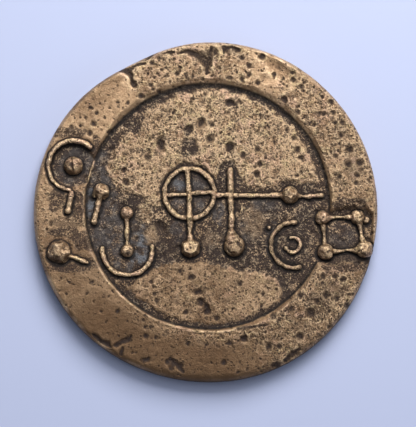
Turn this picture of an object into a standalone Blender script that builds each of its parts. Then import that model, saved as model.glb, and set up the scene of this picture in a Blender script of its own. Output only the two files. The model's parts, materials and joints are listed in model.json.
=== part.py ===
"""A round cast bronze medallion lying face up, for Blender 4.5.

It is one casting: a thick disc with a hand-worked, slightly uneven outline, a raised rim,
a round field sunk off centre, and an emblem of wires and balls that stand up from the metal.
Everything is in metres, +Z up, with the origin under the middle of the flat back.
"""

import math

import bmesh
import bpy
from mathutils import Vector

# The disc
DISC_RADIUS = 0.0250
DISC_THICKNESS = 0.0034
EDGE_ROLL_WIDTH = 0.0013
EDGE_ROLL_DROP = 0.0012
EDGE_STEPS = 4
BACK_ROUND = 0.0006
BACK_STEPS = 2
OUTLINE_SEGMENTS = 90

# The uneven outline: lobes round the disc, the height of each as a share of the radius, and its bearing
OUTLINE_LOBES = ((2, 0.0060, 15), (3, 0.0055, 62), (5, 0.0020, 10))
FLAT_DEPTH = 0.00040
FLAT_BEARING = 116
FLAT_SPREAD = 13

# The sunk field, whose middle is off the disc's middle
RIM_WIDTH = 0.0071
FIELD_DEPTH = 0.00070
FIELD_SHIFT = (0.00022, 0.00088)
FIELD_SEGMENTS = 66
WALL_LIP = 0.00030

# The hollow inside the hook, and the hollow round the square
HOOK_HOLLOW_RADIUS = 0.00318
HOOK_HOLLOW_DEPTH = 0.00078
HOOK_HOLLOW_SEGMENTS = 30
SQUARE_HOLLOW_MARGIN = 0.00155
SQUARE_HOLLOW_DEPTH = 0.00076
SQUARE_HOLLOW_CORNER = 0.0012

# Wires of the emblem, by radius, and how far their middles stand above the ground as a share of it
STOUT_WIRE = 0.00040
WHEEL_WIRE = 0.00036
BAR_WIRE = 0.00034
FINE_WIRE = 0.00028
WIRE_RISE = 0.30
WIRE_SIDES = 8
ARC_STEP = 13
END_ROUNDING = (30, 65)

# Balls of the emblem, by radius, and their squash, rise above the ground and unevenness as shares of it
HOOK_BALL = 0.00134
PIN_BALL = 0.00115
DUMBBELL_BALL = 0.00092
TAIL_BALL = 0.00128
STAFF_BALL = 0.00142
BAR_BALL = 0.00122
CORNER_BALL = 0.00104
LARGE_CORNER_BALL = 0.00122
KNOB_RADIUS = 0.00052
BEAD_RADIUS = 0.00038
BALL_SQUASH = 0.88
BALL_RISE = 0.12
BALL_UNEVENNESS = 0.03
NUGGET_RADIUS = 0.00178
NUGGET_SINK = 0.00040
NUGGET_UNEVENNESS = 0.09

# Arcs of the emblem, by radius
HOOK_RADIUS = 0.00375
CUP_RADIUS = 0.00366
WHEEL_RADIUS = 0.00364
LARGE_CRESCENT_RADIUS = 0.00336
SMALL_CRESCENT_RADIUS = 0.00111

# The square's corners in order, and the ball on each
SQUARE_CORNERS = {
    "square_upper_left": CORNER_BALL,
    "square_upper_right": CORNER_BALL,
    "square_lower_right": LARGE_CORNER_BALL,
    "square_lower_left": CORNER_BALL,
}

# The bearings that each open arc runs between, in degrees anticlockwise from the right
ARC_ENDS = {
    "hook": (41, 262),
    "cup": (169, 374),
    "large_crescent": (81, 290),
    "small_crescent": (119, -156),
}

# The emblem's layout: across and up from the disc's middle, as shares of its radius
PLACES = {
    "hook": (-0.774, 0.283),
    "hook_tail_bend": (-0.795, 0.069),
    "hook_tail_end": (-0.817, -0.011),
    "pin_head": (-0.612, 0.125),
    "pin_foot": (-0.660, -0.070),
    "cup": (-0.460, -0.219),
    "dumbbell_top": (-0.464, -0.001),
    "dumbbell_foot": (-0.461, -0.221),
    "nugget": (-0.857, -0.230),
    "nugget_stick_end": (-0.684, -0.292),
    "hub": (-0.099, 0.113),
    "tail_ball": (-0.092, -0.205),
    "bar_ball": (0.489, 0.104),
    "bar_end": (0.690, 0.099),
    "staff_top": (0.138, 0.259),
    "staff_bend": (0.145, 0.057),
    "staff_ball": (0.164, -0.193),
    "large_crescent": (0.512, -0.188),
    "small_crescent": (0.505, -0.187),
    "bead": (0.366, -0.086),
    "square_upper_left": (0.674, -0.032),
    "square_upper_right": (0.886, -0.026),
    "square_lower_right": (0.919, -0.209),
    "square_lower_left": (0.692, -0.214),
    "square_knob": (0.930, -0.045),
}

# Gouges in the rim: the places that each one runs through, its half width, and how far its middle is sunk
GOUGES = {
    "notch_on_the_upper_left_edge": (((-0.490, 0.824), (-0.457, 0.787), (-0.422, 0.735)), 0.00040, 0.00004),
    "groove_along_the_upper_edge": (((-0.480, 0.828), (-0.346, 0.901), (-0.183, 0.938)), 0.00026, 0.00022),
    "groove_that_curls_inwards": (
        ((-0.170, 0.934), (-0.105, 0.930), (-0.050, 0.892), (-0.018, 0.850), (-0.008, 0.790)),
        0.00046,
        0.00006,
    ),
    "gouge_on_the_lower_left_edge": (
        ((-0.655, -0.722), (-0.600, -0.756), (-0.530, -0.772)),
        0.00040,
        0.00022,
    ),
    "gouge_beside_it": (((-0.515, -0.735), (-0.445, -0.722)), 0.00036, 0.00006),
}

# The largest pits left by the casting: the place of each, its radius and its depth
LARGE_PITS = {
    "round_pit_below_the_wheel": (-0.283, -0.090, 0.00092, 0.00030),
    "tall_pit_above_the_wheel": (-0.279, 0.411, 0.00085, 0.00028),
    "pit_over_the_staff": (0.142, 0.387, 0.00080, 0.00030),
    "long_pit_at_the_top": (0.146, 0.640, 0.00085, 0.00026),
    "pit_over_the_long_bar": (0.298, 0.225, 0.00064, 0.00024),
    "pit_left_of_the_field": (-0.422, 0.505, 0.00095, 0.00020),
    "pit_on_the_right_rim": (0.830, 0.370, 0.00078, 0.00030),
    "second_pit_on_the_right_rim": (0.826, 0.286, 0.00078, 0.00030),
    "outer_pit_on_the_right_rim": (0.890, 0.286, 0.00072, 0.00026),
    "pit_on_the_lower_right_rim": (0.604, -0.591, 0.00092, 0.00034),
    "upper_pit_on_the_lower_right_rim": (0.690, -0.481, 0.00070, 0.00028),
    "pit_on_the_lower_rim": (0.225, -0.731, 0.00066, 0.00030),
    "cluster_on_the_lower_rim": (-0.181, -0.888, 0.00120, 0.00034),
    "smooth_dent_on_the_upper_rim": (0.398, 0.842, 0.00180, 0.00022),
    "pit_on_the_upper_right_rim": (0.317, 0.908, 0.00066, 0.00030),
    "pit_beside_the_upper_rim_wall": (0.452, 0.661, 0.00062, 0.00028),
    "pit_low_in_the_field": (-0.020, -0.545, 0.00085, 0.00024),
}

# How far a cutter runs past the face that it cuts, and the sharpest turn that is shaded smooth
CUTTER_OVERRUN = 0.0010
SMOOTH_ANGLE = 35

BRONZE = (0.36, 0.245, 0.125, 1.0)

FIELD_RADIUS = DISC_RADIUS - RIM_WIDTH
FIELD_TOP = DISC_THICKNESS - FIELD_DEPTH
HOOK_GROUND = DISC_THICKNESS - HOOK_HOLLOW_DEPTH
SQUARE_GROUND = DISC_THICKNESS - SQUARE_HOLLOW_DEPTH


def turn(radius, bearing):
    """A step of that length along a bearing in degrees, anticlockwise from the right."""
    angle = math.radians(bearing)
    return Vector((radius * math.cos(angle), radius * math.sin(angle), 0.0))


def outline_radius(bearing):
    """The disc's own radius along a bearing."""
    lobes = 0.0
    for count, share, peak in OUTLINE_LOBES:
        lobes += share * math.cos(math.radians(count * (bearing - peak)))
    off = (bearing - FLAT_BEARING + 180) % 360 - 180
    return DISC_RADIUS * (1 + lobes) - FLAT_DEPTH * math.exp(-((off / FLAT_SPREAD) ** 2))


def outline_bearings():
    """The bearings of the outline's corners."""
    return [360 * step / OUTLINE_SEGMENTS for step in range(OUTLINE_SEGMENTS)]


def disc_middle():
    """The middle of the round that the outline follows. It puts the outline's box squarely on the origin."""
    outline = [turn(outline_radius(bearing), bearing) for bearing in outline_bearings()]
    across = [point.x for point in outline]
    up = [point.y for point in outline]
    return Vector((-(min(across) + max(across)) / 2, -(min(up) + max(up)) / 2, 0.0))


MIDDLE = disc_middle()
FIELD_MIDDLE = MIDDLE + Vector((*FIELD_SHIFT, 0.0))


def at(across, up):
    """A place on the face, from shares of the disc's radius."""
    return MIDDLE + Vector((across * DISC_RADIUS, up * DISC_RADIUS, 0.0))


def place_of(name):
    """A place of the emblem's layout."""
    return at(*PLACES[name])


def raised(place, height):
    """The same place at that height."""
    return Vector((place.x, place.y, height))


def ring_of(mesh, points):
    """A closed loop of new vertices and edges through the points."""
    made = bmesh.ops.create_circle(mesh, segments=len(points), radius=DISC_RADIUS)
    for vertex, point in zip(made["verts"], points):
        vertex.co = point
    return made["verts"]


def edges_within(vertices):
    """The edges that have both ends in this loop."""
    inside = set(vertices)
    return [edge for edge in {e for v in vertices for e in v.link_edges} if set(edge.verts) <= inside]


def skin(rings_of_points):
    """A closed body through rings of as many points each, one after another, capped at both ends."""
    mesh = bmesh.new()
    rings = [ring_of(mesh, points) for points in rings_of_points]
    for lower, upper in zip(rings, rings[1:]):
        bmesh.ops.bridge_loops(mesh, edges=edges_within(lower) + edges_within(upper))
    for end in (rings[0], rings[-1]):
        bmesh.ops.contextual_create(mesh, geom=edges_within(end))
    bmesh.ops.recalc_face_normals(mesh, faces=mesh.faces)
    return mesh


def mesh_of(name, mesh):
    """Blender's own mesh from the one that was built, shaded smooth except at sharp turns."""
    data = bpy.data.meshes.new(name)
    mesh.to_mesh(data)
    mesh.free()
    data.shade_smooth()
    data.set_sharp_from_angle(angle=math.radians(SMOOTH_ANGLE))
    return data


def quarter_turn(steps):
    """Angles from nothing to a quarter turn, in radians."""
    return [math.pi / 2 * step / steps for step in range(steps + 1)]


def disc_blank():
    """The plain disc: a flat back, a rounded back edge, and a softly rolled upper edge."""
    shoulder = DISC_THICKNESS - EDGE_ROLL_DROP
    profile = []
    for angle in quarter_turn(BACK_STEPS):
        profile.append((BACK_ROUND * (1 - math.sin(angle)), BACK_ROUND * (1 - math.cos(angle))))
    for angle in quarter_turn(EDGE_STEPS):
        profile.append((EDGE_ROLL_WIDTH * (1 - math.cos(angle)), shoulder + EDGE_ROLL_DROP * math.sin(angle)))
    rings = []
    for inset, height in profile:
        ring = [MIDDLE + turn(outline_radius(bearing) - inset, bearing) for bearing in outline_bearings()]
        rings.append([raised(point, height) for point in ring])
    return skin(rings)


def round_cutter(centre, radius, floor, segments):
    """A round hollow with an upright wall, eased at its foot and opened at the rim's top."""
    levels = (
        (radius - WALL_LIP / 2, floor),
        (radius, floor + WALL_LIP / 2),
        (radius, DISC_THICKNESS - WALL_LIP),
        (radius + WALL_LIP, DISC_THICKNESS),
        (radius + WALL_LIP, DISC_THICKNESS + CUTTER_OVERRUN),
    )
    rings = []
    for reach, height in levels:
        ring = [centre + turn(reach, 360 * step / segments) for step in range(segments)]
        rings.append([raised(point, height) for point in ring])
    return skin(rings)


def square_cutter():
    """The hollow round the square, with rounded corners and a thin wall left outside it."""
    corners = [place_of(name) for name in SQUARE_CORNERS]
    left = min(corner.x for corner in corners) - SQUARE_HOLLOW_MARGIN
    right = max(corner.x for corner in corners) + SQUARE_HOLLOW_MARGIN
    low = min(corner.y for corner in corners) - SQUARE_HOLLOW_MARGIN
    high = max(corner.y for corner in corners) + SQUARE_HOLLOW_MARGIN
    right = min(right, MIDDLE.x + outline_radius(0) - EDGE_ROLL_WIDTH / 2)
    tall = SQUARE_HOLLOW_DEPTH + CUTTER_OVERRUN
    middle = Vector(((left + right) / 2, (low + high) / 2, SQUARE_GROUND + tall / 2))
    mesh = bmesh.new()
    bmesh.ops.create_cube(mesh, size=1.0)
    bmesh.ops.scale(mesh, verts=mesh.verts, vec=(right - left, high - low, tall))
    bmesh.ops.translate(mesh, verts=mesh.verts, vec=middle)
    uprights = [e for e in mesh.edges if abs(e.verts[0].co.z - e.verts[1].co.z) > tall / 2]
    bmesh.ops.bevel(mesh, geom=uprights, offset=SQUARE_HOLLOW_CORNER, segments=3, profile=0.5, affect="EDGES")
    return mesh


def pit_cutter(place, radius, depth):
    """A flattened ball, sunk to its middle, that leaves a pit of that radius and depth."""
    ground = FIELD_TOP if (place - FIELD_MIDDLE).length < FIELD_RADIUS else DISC_THICKNESS
    mesh = bmesh.new()
    bmesh.ops.create_icosphere(mesh, subdivisions=2, radius=radius)
    bmesh.ops.scale(mesh, verts=mesh.verts, vec=(1.0, 1.0, depth / radius))
    bmesh.ops.translate(mesh, verts=mesh.verts, vec=raised(place, ground))
    return mesh


def rounded_end(place, outwards, radius):
    """Two more stations past a rod's end, each slimmer than the last."""
    stations = []
    for degrees in END_ROUNDING:
        angle = math.radians(degrees)
        stations.append((place + outwards * radius * math.sin(angle), radius * math.cos(angle)))
    return stations


def rod(route, radius, height):
    """A round rod along the route, with rounded ends and its middle at that height."""
    first = (route[1] - route[0]).normalized()
    last = (route[-1] - route[-2]).normalized()
    head = rounded_end(route[0], -first, radius)[::-1]
    tail = rounded_end(route[-1], last, radius)
    stations = [(place, slim, first) for place, slim in head]
    for index, place in enumerate(route):
        before = route[max(index - 1, 0)]
        after = route[min(index + 1, len(route) - 1)]
        stations.append((place, radius, (after - before).normalized()))
    stations += [(place, slim, last) for place, slim in tail]
    rings = []
    for place, slim, along in stations:
        aside = Vector((-along.y, along.x, 0.0))
        ring = []
        for side in range(WIRE_SIDES):
            spot = turn(slim, 360 * (side + 0.5) / WIRE_SIDES)
            ring.append(raised(place + aside * spot.x, height + spot.y))
        rings.append(ring)
    return skin(rings)


def wire(route, radius, ground):
    """A wire laid along the route and fused to the ground."""
    return rod(route, radius, ground + WIRE_RISE * radius)


def hoop(centre, radius, wire_radius, ground):
    """A closed round hoop of wire, fused to the ground."""
    mesh = bmesh.new()
    bmesh.ops.create_circle(mesh, segments=WIRE_SIDES, radius=wire_radius)
    for vertex in mesh.verts:
        vertex.co = Vector((radius + vertex.co.x, 0.0, vertex.co.y))
    bmesh.ops.spin(
        mesh,
        geom=mesh.verts[:] + mesh.edges[:],
        axis=(0, 0, 1),
        cent=(0, 0, 0),
        angle=2 * math.pi,
        steps=round(360 / ARC_STEP),
        use_merge=True,
    )
    bmesh.ops.translate(mesh, verts=mesh.verts, vec=raised(centre, ground + WIRE_RISE * wire_radius))
    bmesh.ops.recalc_face_normals(mesh, faces=mesh.faces)
    return mesh


def ball(centre, radius, ground, unevenness=BALL_UNEVENNESS):
    """A ball pressed into the ground, squashed and a little uneven. The smallest ones have fewer faces."""
    mesh = bmesh.new()
    bmesh.ops.create_icosphere(mesh, subdivisions=2 if radius < DUMBBELL_BALL else 3, radius=radius)
    for vertex in mesh.verts:
        place = vertex.co / radius
        swell = math.sin(3 * place.x + 9 * place.z) + math.sin(5 * place.y - 4 * place.x)
        vertex.co *= 1 + unevenness * swell / 2
        vertex.co.z *= BALL_SQUASH
    bmesh.ops.translate(mesh, verts=mesh.verts, vec=raised(centre, ground + BALL_RISE * radius))
    return mesh


def arc(name, radius):
    """Places along one of the emblem's open arcs."""
    start, end = ARC_ENDS[name]
    steps = round(abs(end - start) / ARC_STEP)
    return [place_of(name) + turn(radius, start + (end - start) * step / steps) for step in range(steps + 1)]


def hook_sign():
    """On the left of the rim: an open hook with a hanging tail, round a ball in a hollow."""
    ring = arc("hook", HOOK_RADIUS)
    tail = [ring[-1], place_of("hook_tail_bend"), place_of("hook_tail_end")]
    yield "hook", wire(ring, FINE_WIRE, DISC_THICKNESS)
    yield "hook_tail", wire(tail, STOUT_WIRE, DISC_THICKNESS)
    yield "hook_ball", ball(place_of("hook"), HOOK_BALL, HOOK_GROUND)


def pin_sign():
    """In the left of the field: a ball on a short leaning stick."""
    yield "pin_stick", wire([place_of("pin_head"), place_of("pin_foot")], STOUT_WIRE, FIELD_TOP)
    yield "pin_ball", ball(place_of("pin_head"), PIN_BALL, FIELD_TOP)


def cup_sign():
    """An upturned crescent with a dumbbell standing in it."""
    top, foot = place_of("dumbbell_top"), place_of("dumbbell_foot")
    yield "cup", wire(arc("cup", CUP_RADIUS), BAR_WIRE, FIELD_TOP)
    yield "dumbbell_stick", wire([top, foot], BAR_WIRE, FIELD_TOP)
    yield "dumbbell_upper_ball", ball(top, DUMBBELL_BALL, FIELD_TOP)
    yield "dumbbell_lower_ball", ball(foot, DUMBBELL_BALL, FIELD_TOP)


def nugget_sign():
    """Low on the left of the rim: a rough nugget with a short stick."""
    stick = [place_of("nugget"), place_of("nugget_stick_end")]
    yield "nugget_stick", wire(stick, BAR_WIRE, DISC_THICKNESS)
    yield "nugget", ball(place_of("nugget"), NUGGET_RADIUS, DISC_THICKNESS - NUGGET_SINK, NUGGET_UNEVENNESS)


def wheel_sign():
    """The cross in a wheel with its tail and ball, the staff, and the long bar that ties them together."""
    hub = place_of("hub")
    upright = [hub + turn(WHEEL_RADIUS, 96), hub, hub + turn(WHEEL_RADIUS, 270), place_of("tail_ball")]
    bar = [hub + turn(WHEEL_RADIUS, 177), hub, place_of("bar_ball"), place_of("bar_end")]
    staff = [place_of("staff_top"), place_of("staff_bend"), place_of("staff_ball")]
    yield "wheel", hoop(hub, WHEEL_RADIUS, WHEEL_WIRE, FIELD_TOP)
    yield "upright", wire(upright, STOUT_WIRE, FIELD_TOP)
    yield "long_bar", wire(bar, BAR_WIRE, FIELD_TOP)
    yield "staff", wire(staff, STOUT_WIRE, FIELD_TOP)
    yield "tail_ball", ball(place_of("tail_ball"), TAIL_BALL, FIELD_TOP)
    yield "bar_ball", ball(place_of("bar_ball"), BAR_BALL, FIELD_TOP)
    yield "staff_ball", ball(place_of("staff_ball"), STAFF_BALL, FIELD_TOP)


def crescent_sign():
    """Right of the staff: a large crescent round a small one that faces the other way."""
    yield "large_crescent", wire(arc("large_crescent", LARGE_CRESCENT_RADIUS), BAR_WIRE, FIELD_TOP)
    yield "small_crescent", wire(arc("small_crescent", SMALL_CRESCENT_RADIUS), FINE_WIRE, FIELD_TOP)
    yield "bead", ball(place_of("bead"), BEAD_RADIUS, FIELD_TOP)


def square_sign():
    """On the right of the rim: four balls joined into a square by thin bars, in a hollow of their own."""
    names = list(SQUARE_CORNERS)
    for name, neighbour in zip(names, names[1:] + names[:1]):
        bar = [place_of(name), place_of(neighbour)]
        yield name + "_bar", wire(bar, FINE_WIRE, SQUARE_GROUND + FINE_WIRE / 2)
        yield name + "_ball", ball(place_of(name), SQUARE_CORNERS[name], SQUARE_GROUND)
    yield "square_knob", ball(place_of("square_knob"), KNOB_RADIUS, SQUARE_GROUND)


def hollows():
    """The sunk field and the two hollows that open from it."""
    yield "field_cutter", round_cutter(FIELD_MIDDLE, FIELD_RADIUS, FIELD_TOP, FIELD_SEGMENTS)
    yield "hook_cutter", round_cutter(place_of("hook"), HOOK_HOLLOW_RADIUS, HOOK_GROUND, HOOK_HOLLOW_SEGMENTS)
    yield "square_cutter", square_cutter()


def gouges():
    """The long gouges near the rim's outer edge."""
    for name, (places, half_width, sunk) in GOUGES.items():
        route = [at(across, up) for across, up in places]
        yield name, rod(route, half_width, DISC_THICKNESS - sunk)


def pits():
    """The largest pits."""
    for name, (across, up, radius, depth) in LARGE_PITS.items():
        yield name, pit_cutter(at(across, up), radius, depth)


def emblem():
    """Every sign of the emblem."""
    for sign in (hook_sign, pin_sign, cup_sign, nugget_sign, wheel_sign, crescent_sign, square_sign):
        yield from sign()


def work_with(target, operation, helpers):
    """Cuts the target with a group of helper objects, or joins them to it. The helpers aren't rendered."""
    group = bpy.data.collections.new(helpers.__name__)
    bpy.context.scene.collection.children.link(group)
    for name, mesh in helpers():
        helper = bpy.data.objects.new(name, mesh_of(name, mesh))
        group.objects.link(helper)
        helper.hide_render = True
        helper.display_type = "WIRE"
    modifier = target.modifiers.new(helpers.__name__, "BOOLEAN")
    modifier.operation = operation
    modifier.operand_type = "COLLECTION"
    modifier.collection = group
    modifier.solver = "EXACT"


def cast_bronze():
    """Old cast bronze, browned and rubbed bright on top."""
    material = bpy.data.materials.new("cast_bronze")
    material.use_nodes = True
    shader = material.node_tree.nodes["Principled BSDF"]
    shader.inputs["Base Color"].default_value = BRONZE
    shader.inputs["Metallic"].default_value = 1.0
    shader.inputs["Roughness"].default_value = 0.45
    return material


def main():
    for old in list(bpy.data.objects):
        bpy.data.objects.remove(old)
    medallion = bpy.data.objects.new("medallion", mesh_of("medallion", disc_blank()))
    bpy.context.scene.collection.objects.link(medallion)
    medallion.data.materials.append(cast_bronze())
    work_with(medallion, "DIFFERENCE", hollows)
    work_with(medallion, "DIFFERENCE", gouges)
    work_with(medallion, "DIFFERENCE", pits)
    work_with(medallion, "UNION", emblem)


main()
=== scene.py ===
import json
import math
import random

import bmesh
import bpy
import numpy as np
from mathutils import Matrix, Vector, kdtree, noise
from mathutils.bvhtree import BVHTree

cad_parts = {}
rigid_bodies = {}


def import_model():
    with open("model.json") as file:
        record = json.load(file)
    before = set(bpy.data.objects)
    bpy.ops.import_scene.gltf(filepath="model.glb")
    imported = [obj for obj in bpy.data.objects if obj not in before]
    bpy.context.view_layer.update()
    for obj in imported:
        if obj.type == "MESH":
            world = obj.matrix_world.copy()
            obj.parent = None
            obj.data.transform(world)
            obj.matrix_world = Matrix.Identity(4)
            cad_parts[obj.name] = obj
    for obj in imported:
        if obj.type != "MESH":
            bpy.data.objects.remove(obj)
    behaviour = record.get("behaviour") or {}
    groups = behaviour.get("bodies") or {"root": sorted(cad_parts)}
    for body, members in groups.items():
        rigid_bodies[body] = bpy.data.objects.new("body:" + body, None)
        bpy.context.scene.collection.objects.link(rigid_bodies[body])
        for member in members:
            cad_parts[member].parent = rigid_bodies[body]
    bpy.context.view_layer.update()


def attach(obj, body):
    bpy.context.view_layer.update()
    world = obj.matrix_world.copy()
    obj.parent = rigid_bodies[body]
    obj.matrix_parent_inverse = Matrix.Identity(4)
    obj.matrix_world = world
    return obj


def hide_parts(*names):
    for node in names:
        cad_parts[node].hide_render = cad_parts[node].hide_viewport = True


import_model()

# The face of the disc, seen from above.
# The real one is a hand-rolled wax disc cast in bronze: uneven in outline, with a softly rolled upper
# edge, a raised rim and a round field that is sunk off centre.
DISC_RADIUS = 0.0250
RIM_TOP = 0.0034
OUTLINE_LOBES = ((2, 0.0060, 15), (3, 0.0055, 62), (5, 0.0020, 10))
FLAT_DEPTH = 0.00040
FLAT_BEARING = 116
FLAT_SPREAD = 13
ROLL_DROP = 0.00125
ROLL_WIDTHS = {
    0: 0.00065, 60: 0.0006, 110: 0.00055, 180: 0.00075, 225: 0.0009, 265: 0.0016, 300: 0.0012,
    330: 0.0008,
}
FIELD_RADIUS = 0.01775
FIELD_SHIFT = (0.00022, 0.00088)
FIELD_GROUND = 0.00270
FIELD_WAVER = 0.00007
FIELD_WAVE = 0.0021
WALL_WAVER = 0.35
WALL_WAVE = 0.0026
WALL_WIDTHS = {
    0: 0.00042, 20: 0.00075, 45: 0.00115, 90: 0.00122, 120: 0.00110, 150: 0.00070, 180: 0.00042,
    225: 0.00040, 250: 0.00036, 270: 0.00045, 285: 0.00070, 300: 0.00090, 315: 0.00080, 330: 0.00062,
}

# How many rings of fine triangles the face has from its middle to the outline, and in each part of it
FACE_RINGS = 138
FIELD_RINGS = 88
WALL_RINGS = 7
ROLL_RINGS = 14
RIM_RINGS = FACE_RINGS - FIELD_RINGS - WALL_RINGS - ROLL_RINGS
# Numbers closer than this count as the same
HAIR = 1e-6
# Most of the unevenness of the skin and of the dirt comes in lumps of about this size
SKIN_LUMP = 0.0012


def outline_radius(bearings):
    """The disc's own radius along some bearings, in degrees anticlockwise from the right."""
    radius = np.full_like(bearings, DISC_RADIUS, dtype=float)
    for count, share, peak in OUTLINE_LOBES:
        radius += DISC_RADIUS * share * np.cos(np.radians(count * (bearings - peak)))
    off = (bearings - FLAT_BEARING + 180) % 360 - 180
    return radius - FLAT_DEPTH * bell(off, FLAT_SPREAD)


def round_the_disc(values, bearings):
    """Values that are known at some bearings, filled in between them."""
    return np.interp(bearings % 360, list(values), list(values.values()), period=360)


def towards(bearings):
    """Steps of length one along some bearings."""
    angles = np.radians(bearings)
    return np.stack((np.cos(angles), np.sin(angles)), axis=-1)


def smooth_step(low, high, values):
    """0 below low, 1 above high, and a smooth rise between."""
    share = np.clip((values - low) / (high - low), 0, 1)
    return share * share * (3 - 2 * share)


def bell(off, width):
    """1 where off is 0, and falling away softly on both sides over that width."""
    return np.exp(-((off / width) ** 2))


def lumps(places, size, seed, octaves=1):
    """Soft noise between about -1 and 1, whose lumps have that size."""
    shift = Vector((seed * 7.31, seed * 3.17, seed * 1.73))
    if places.shape[1] == 2:
        places = np.column_stack((places, np.zeros(len(places))))
    if octaves == 1:
        return np.array([noise.noise(Vector(spot) + shift) for spot in places / size])
    return np.array([noise.fractal(Vector(spot) + shift, 0.9, 2.0, octaves) for spot in places / size])


def field_edge_radius(bearings):
    """The radius of the field's edge, which wavers a little as the tool that cut it did."""
    return FIELD_RADIUS + FIELD_WAVER * lumps(towards(bearings) * FIELD_RADIUS, FIELD_WAVE, 14, 2)


def wall_width(bearings):
    """How wide the wall round the field is."""
    uneven = 1 + WALL_WAVER * lumps(towards(bearings) * FIELD_RADIUS, WALL_WAVE, 15, 2)
    return round_the_disc(WALL_WIDTHS, bearings) * uneven


every_bearing = np.arange(0, 360, 4.0)
plain_outline = towards(every_bearing) * outline_radius(every_bearing)[:, None]
MIDDLE = -(plain_outline.min(axis=0) + plain_outline.max(axis=0)) / 2
FIELD_MIDDLE = MIDDLE + np.array(FIELD_SHIFT)


def round_grid(rings):
    """A flat round of fine triangles in rings, with each vertex's ring and bearing."""
    mesh = bmesh.new()
    bmesh.ops.create_circle(mesh, segments=6, radius=1.0, cap_ends=True, cap_tris=True)
    bmesh.ops.subdivide_edges(mesh, edges=mesh.edges[:], cuts=rings - 1, use_grid_fill=True)
    flat = np.array([vertex.co for vertex in mesh.verts])
    corner = max(mesh.verts, key=lambda vertex: round(vertex.co.length, 5)).co
    first = math.degrees(math.atan2(corner.y, corner.x)) % 60
    # It starts as a hexagon, in which each vertex has a share of the way along its own ring's side
    sixth = np.floor((np.degrees(np.arctan2(flat[:, 1], flat[:, 0])) - first) / 60 + HAIR)
    near = towards(first + 60 * sixth)
    far = towards(first + 60 * sixth + 60)
    cross = near[:, 0] * far[:, 1] - near[:, 1] * far[:, 0]
    to_far = (near[:, 0] * flat[:, 1] - near[:, 1] * flat[:, 0]) / cross
    to_near = (flat[:, 0] * far[:, 1] - flat[:, 1] * far[:, 0]) / cross
    ring = to_near + to_far
    along = np.divide(to_far, ring, out=np.zeros_like(ring), where=ring > HAIR)
    return mesh, ring * rings, (first + 60 * (sixth + along)) % 360


disc, ring, bearing = round_grid(FACE_RINGS)

# The rings are pulled round: out to the field's edge, up the wall, over the rim and round the rolled edge
outwards = towards(bearing)
roll_width = round_the_disc(ROLL_WIDTHS, bearing)
edge_radius = field_edge_radius(bearing)
field_edge = FIELD_MIDDLE + outwards * edge_radius[:, None]
wall_top = field_edge + outwards * wall_width(bearing)[:, None]
shoulder = MIDDLE + outwards * (outline_radius(bearing) - roll_width)[:, None]
in_field = np.clip(ring / FIELD_RINGS, 0, 1)
in_wall = np.clip((ring - FIELD_RINGS) / WALL_RINGS, 0, 1)
in_roll = np.clip((ring - FACE_RINGS + ROLL_RINGS) / ROLL_RINGS, 0, 1)
in_rim = np.clip((ring - FIELD_RINGS - WALL_RINGS) / RIM_RINGS, 0, 1)
place = FIELD_MIDDLE + (field_edge - FIELD_MIDDLE) * in_field[:, None]
place = place + (wall_top - field_edge) * in_wall[:, None]
place = place + (shoulder - wall_top) * in_rim[:, None]
place = place + outwards * (roll_width * np.sin(in_roll * math.pi / 2))[:, None]
roll_drop = ROLL_DROP * (1 - np.cos(in_roll * math.pi / 2))


# The relief of the rim, the wall and the sunk field.
# The rim was modelled by hand and swells a little. Inside the field the ground was scraped low round
# the signs, and two thicker spongy patches were left standing above and below them.
PHOTO_MIDDLE = (206.3, 212.8)
PIXEL = DISC_RADIUS / 171.2
RIM_SWELL = 0.00007
GROUND_SWELL = 0.00003
# The sizes of the swellings: two kinds on the rim, and one in the scraped field
BROAD_SWELL = 0.006
HAND_SWELL = 0.0024
SCRAPE_SWELL = 0.003
PLATEAU_RISE = 0.00017
PLATEAU_SLOPE = 4.0
# The patches' outlines are torn by up to about so many pixels, in lumps of that size in metres
RAGGED_PIXELS = 3.4
RAGGED_SIZE = 0.0011
FOOT_CREVICE = 0.00011
FOOT_CREVICE_WIDTH = 0.00019
LIP_INSET = 0.00005
LIP_WIDTH = 0.0003
LIP_RISES = {
    0: 0.00002, 60: 0.0, 120: 0.00001, 180: 0.00004, 230: 0.00005, 270: 0.00007, 300: 0.00009,
    330: 0.00005,
}

# How wide the low band inside the rim is, in pixels, by bearing from the field's middle
LOW_BANDS = {
    10: 8, 30: 8, 45: 6, 60: 5, 90: 5, 120: 8, 135: 13, 150: 12, 165: 14, 200: 12, 225: 8, 250: 6,
    270: 4, 300: 5, 325: 6,
}
# How far down the upper patch reaches, and how far up the lower one, by pixel across
UPPER_PATCH_FOOT = {
    95: 150, 104: 165, 110: 178, 118: 188, 128: 192, 140: 197, 150: 204, 158: 206, 215: 190, 219: 168,
    224: 160, 234: 160, 240: 176, 246: 186, 275: 187, 281: 182, 290: 180, 300: 183, 315: 183, 330: 180,
}
LOWER_PATCH_HEAD = {
    115: 290, 125: 288, 133: 283, 140: 278, 150: 272, 160: 265, 170: 262, 200: 262, 210: 264, 218: 263,
    225: 267, 232: 266, 240: 272, 247: 269, 255: 272, 265: 275, 275: 277, 279: 283, 283: 293, 284: 300,
    330: 330,
}
WHEEL_CLEARING = (189.3, 193.5, 30)
# Low brown islands left in the scraped ground: the middle of each, its half width and half height, its share
ISLANDS = ((146, 214, 7, 12, 0.6), (152, 236, 7, 12, 0.5), (252, 222, 14, 18, 0.4), (212, 240, 9, 9, 0.4))
# Recesses scraped through the upper patch: the middle of each, its half width and half height, its share
RECESSES = (
    (188, 130, 4.5, 6, 1), (190, 148, 8.5, 10, 1), (201, 127, 6, 9, 0.5), (135, 127, 5, 8.5, 1),
    (139, 117, 6, 5, 0.9), (230, 103, 5.5, 3.5, 1), (235, 106, 3, 3, 1),
)


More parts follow.
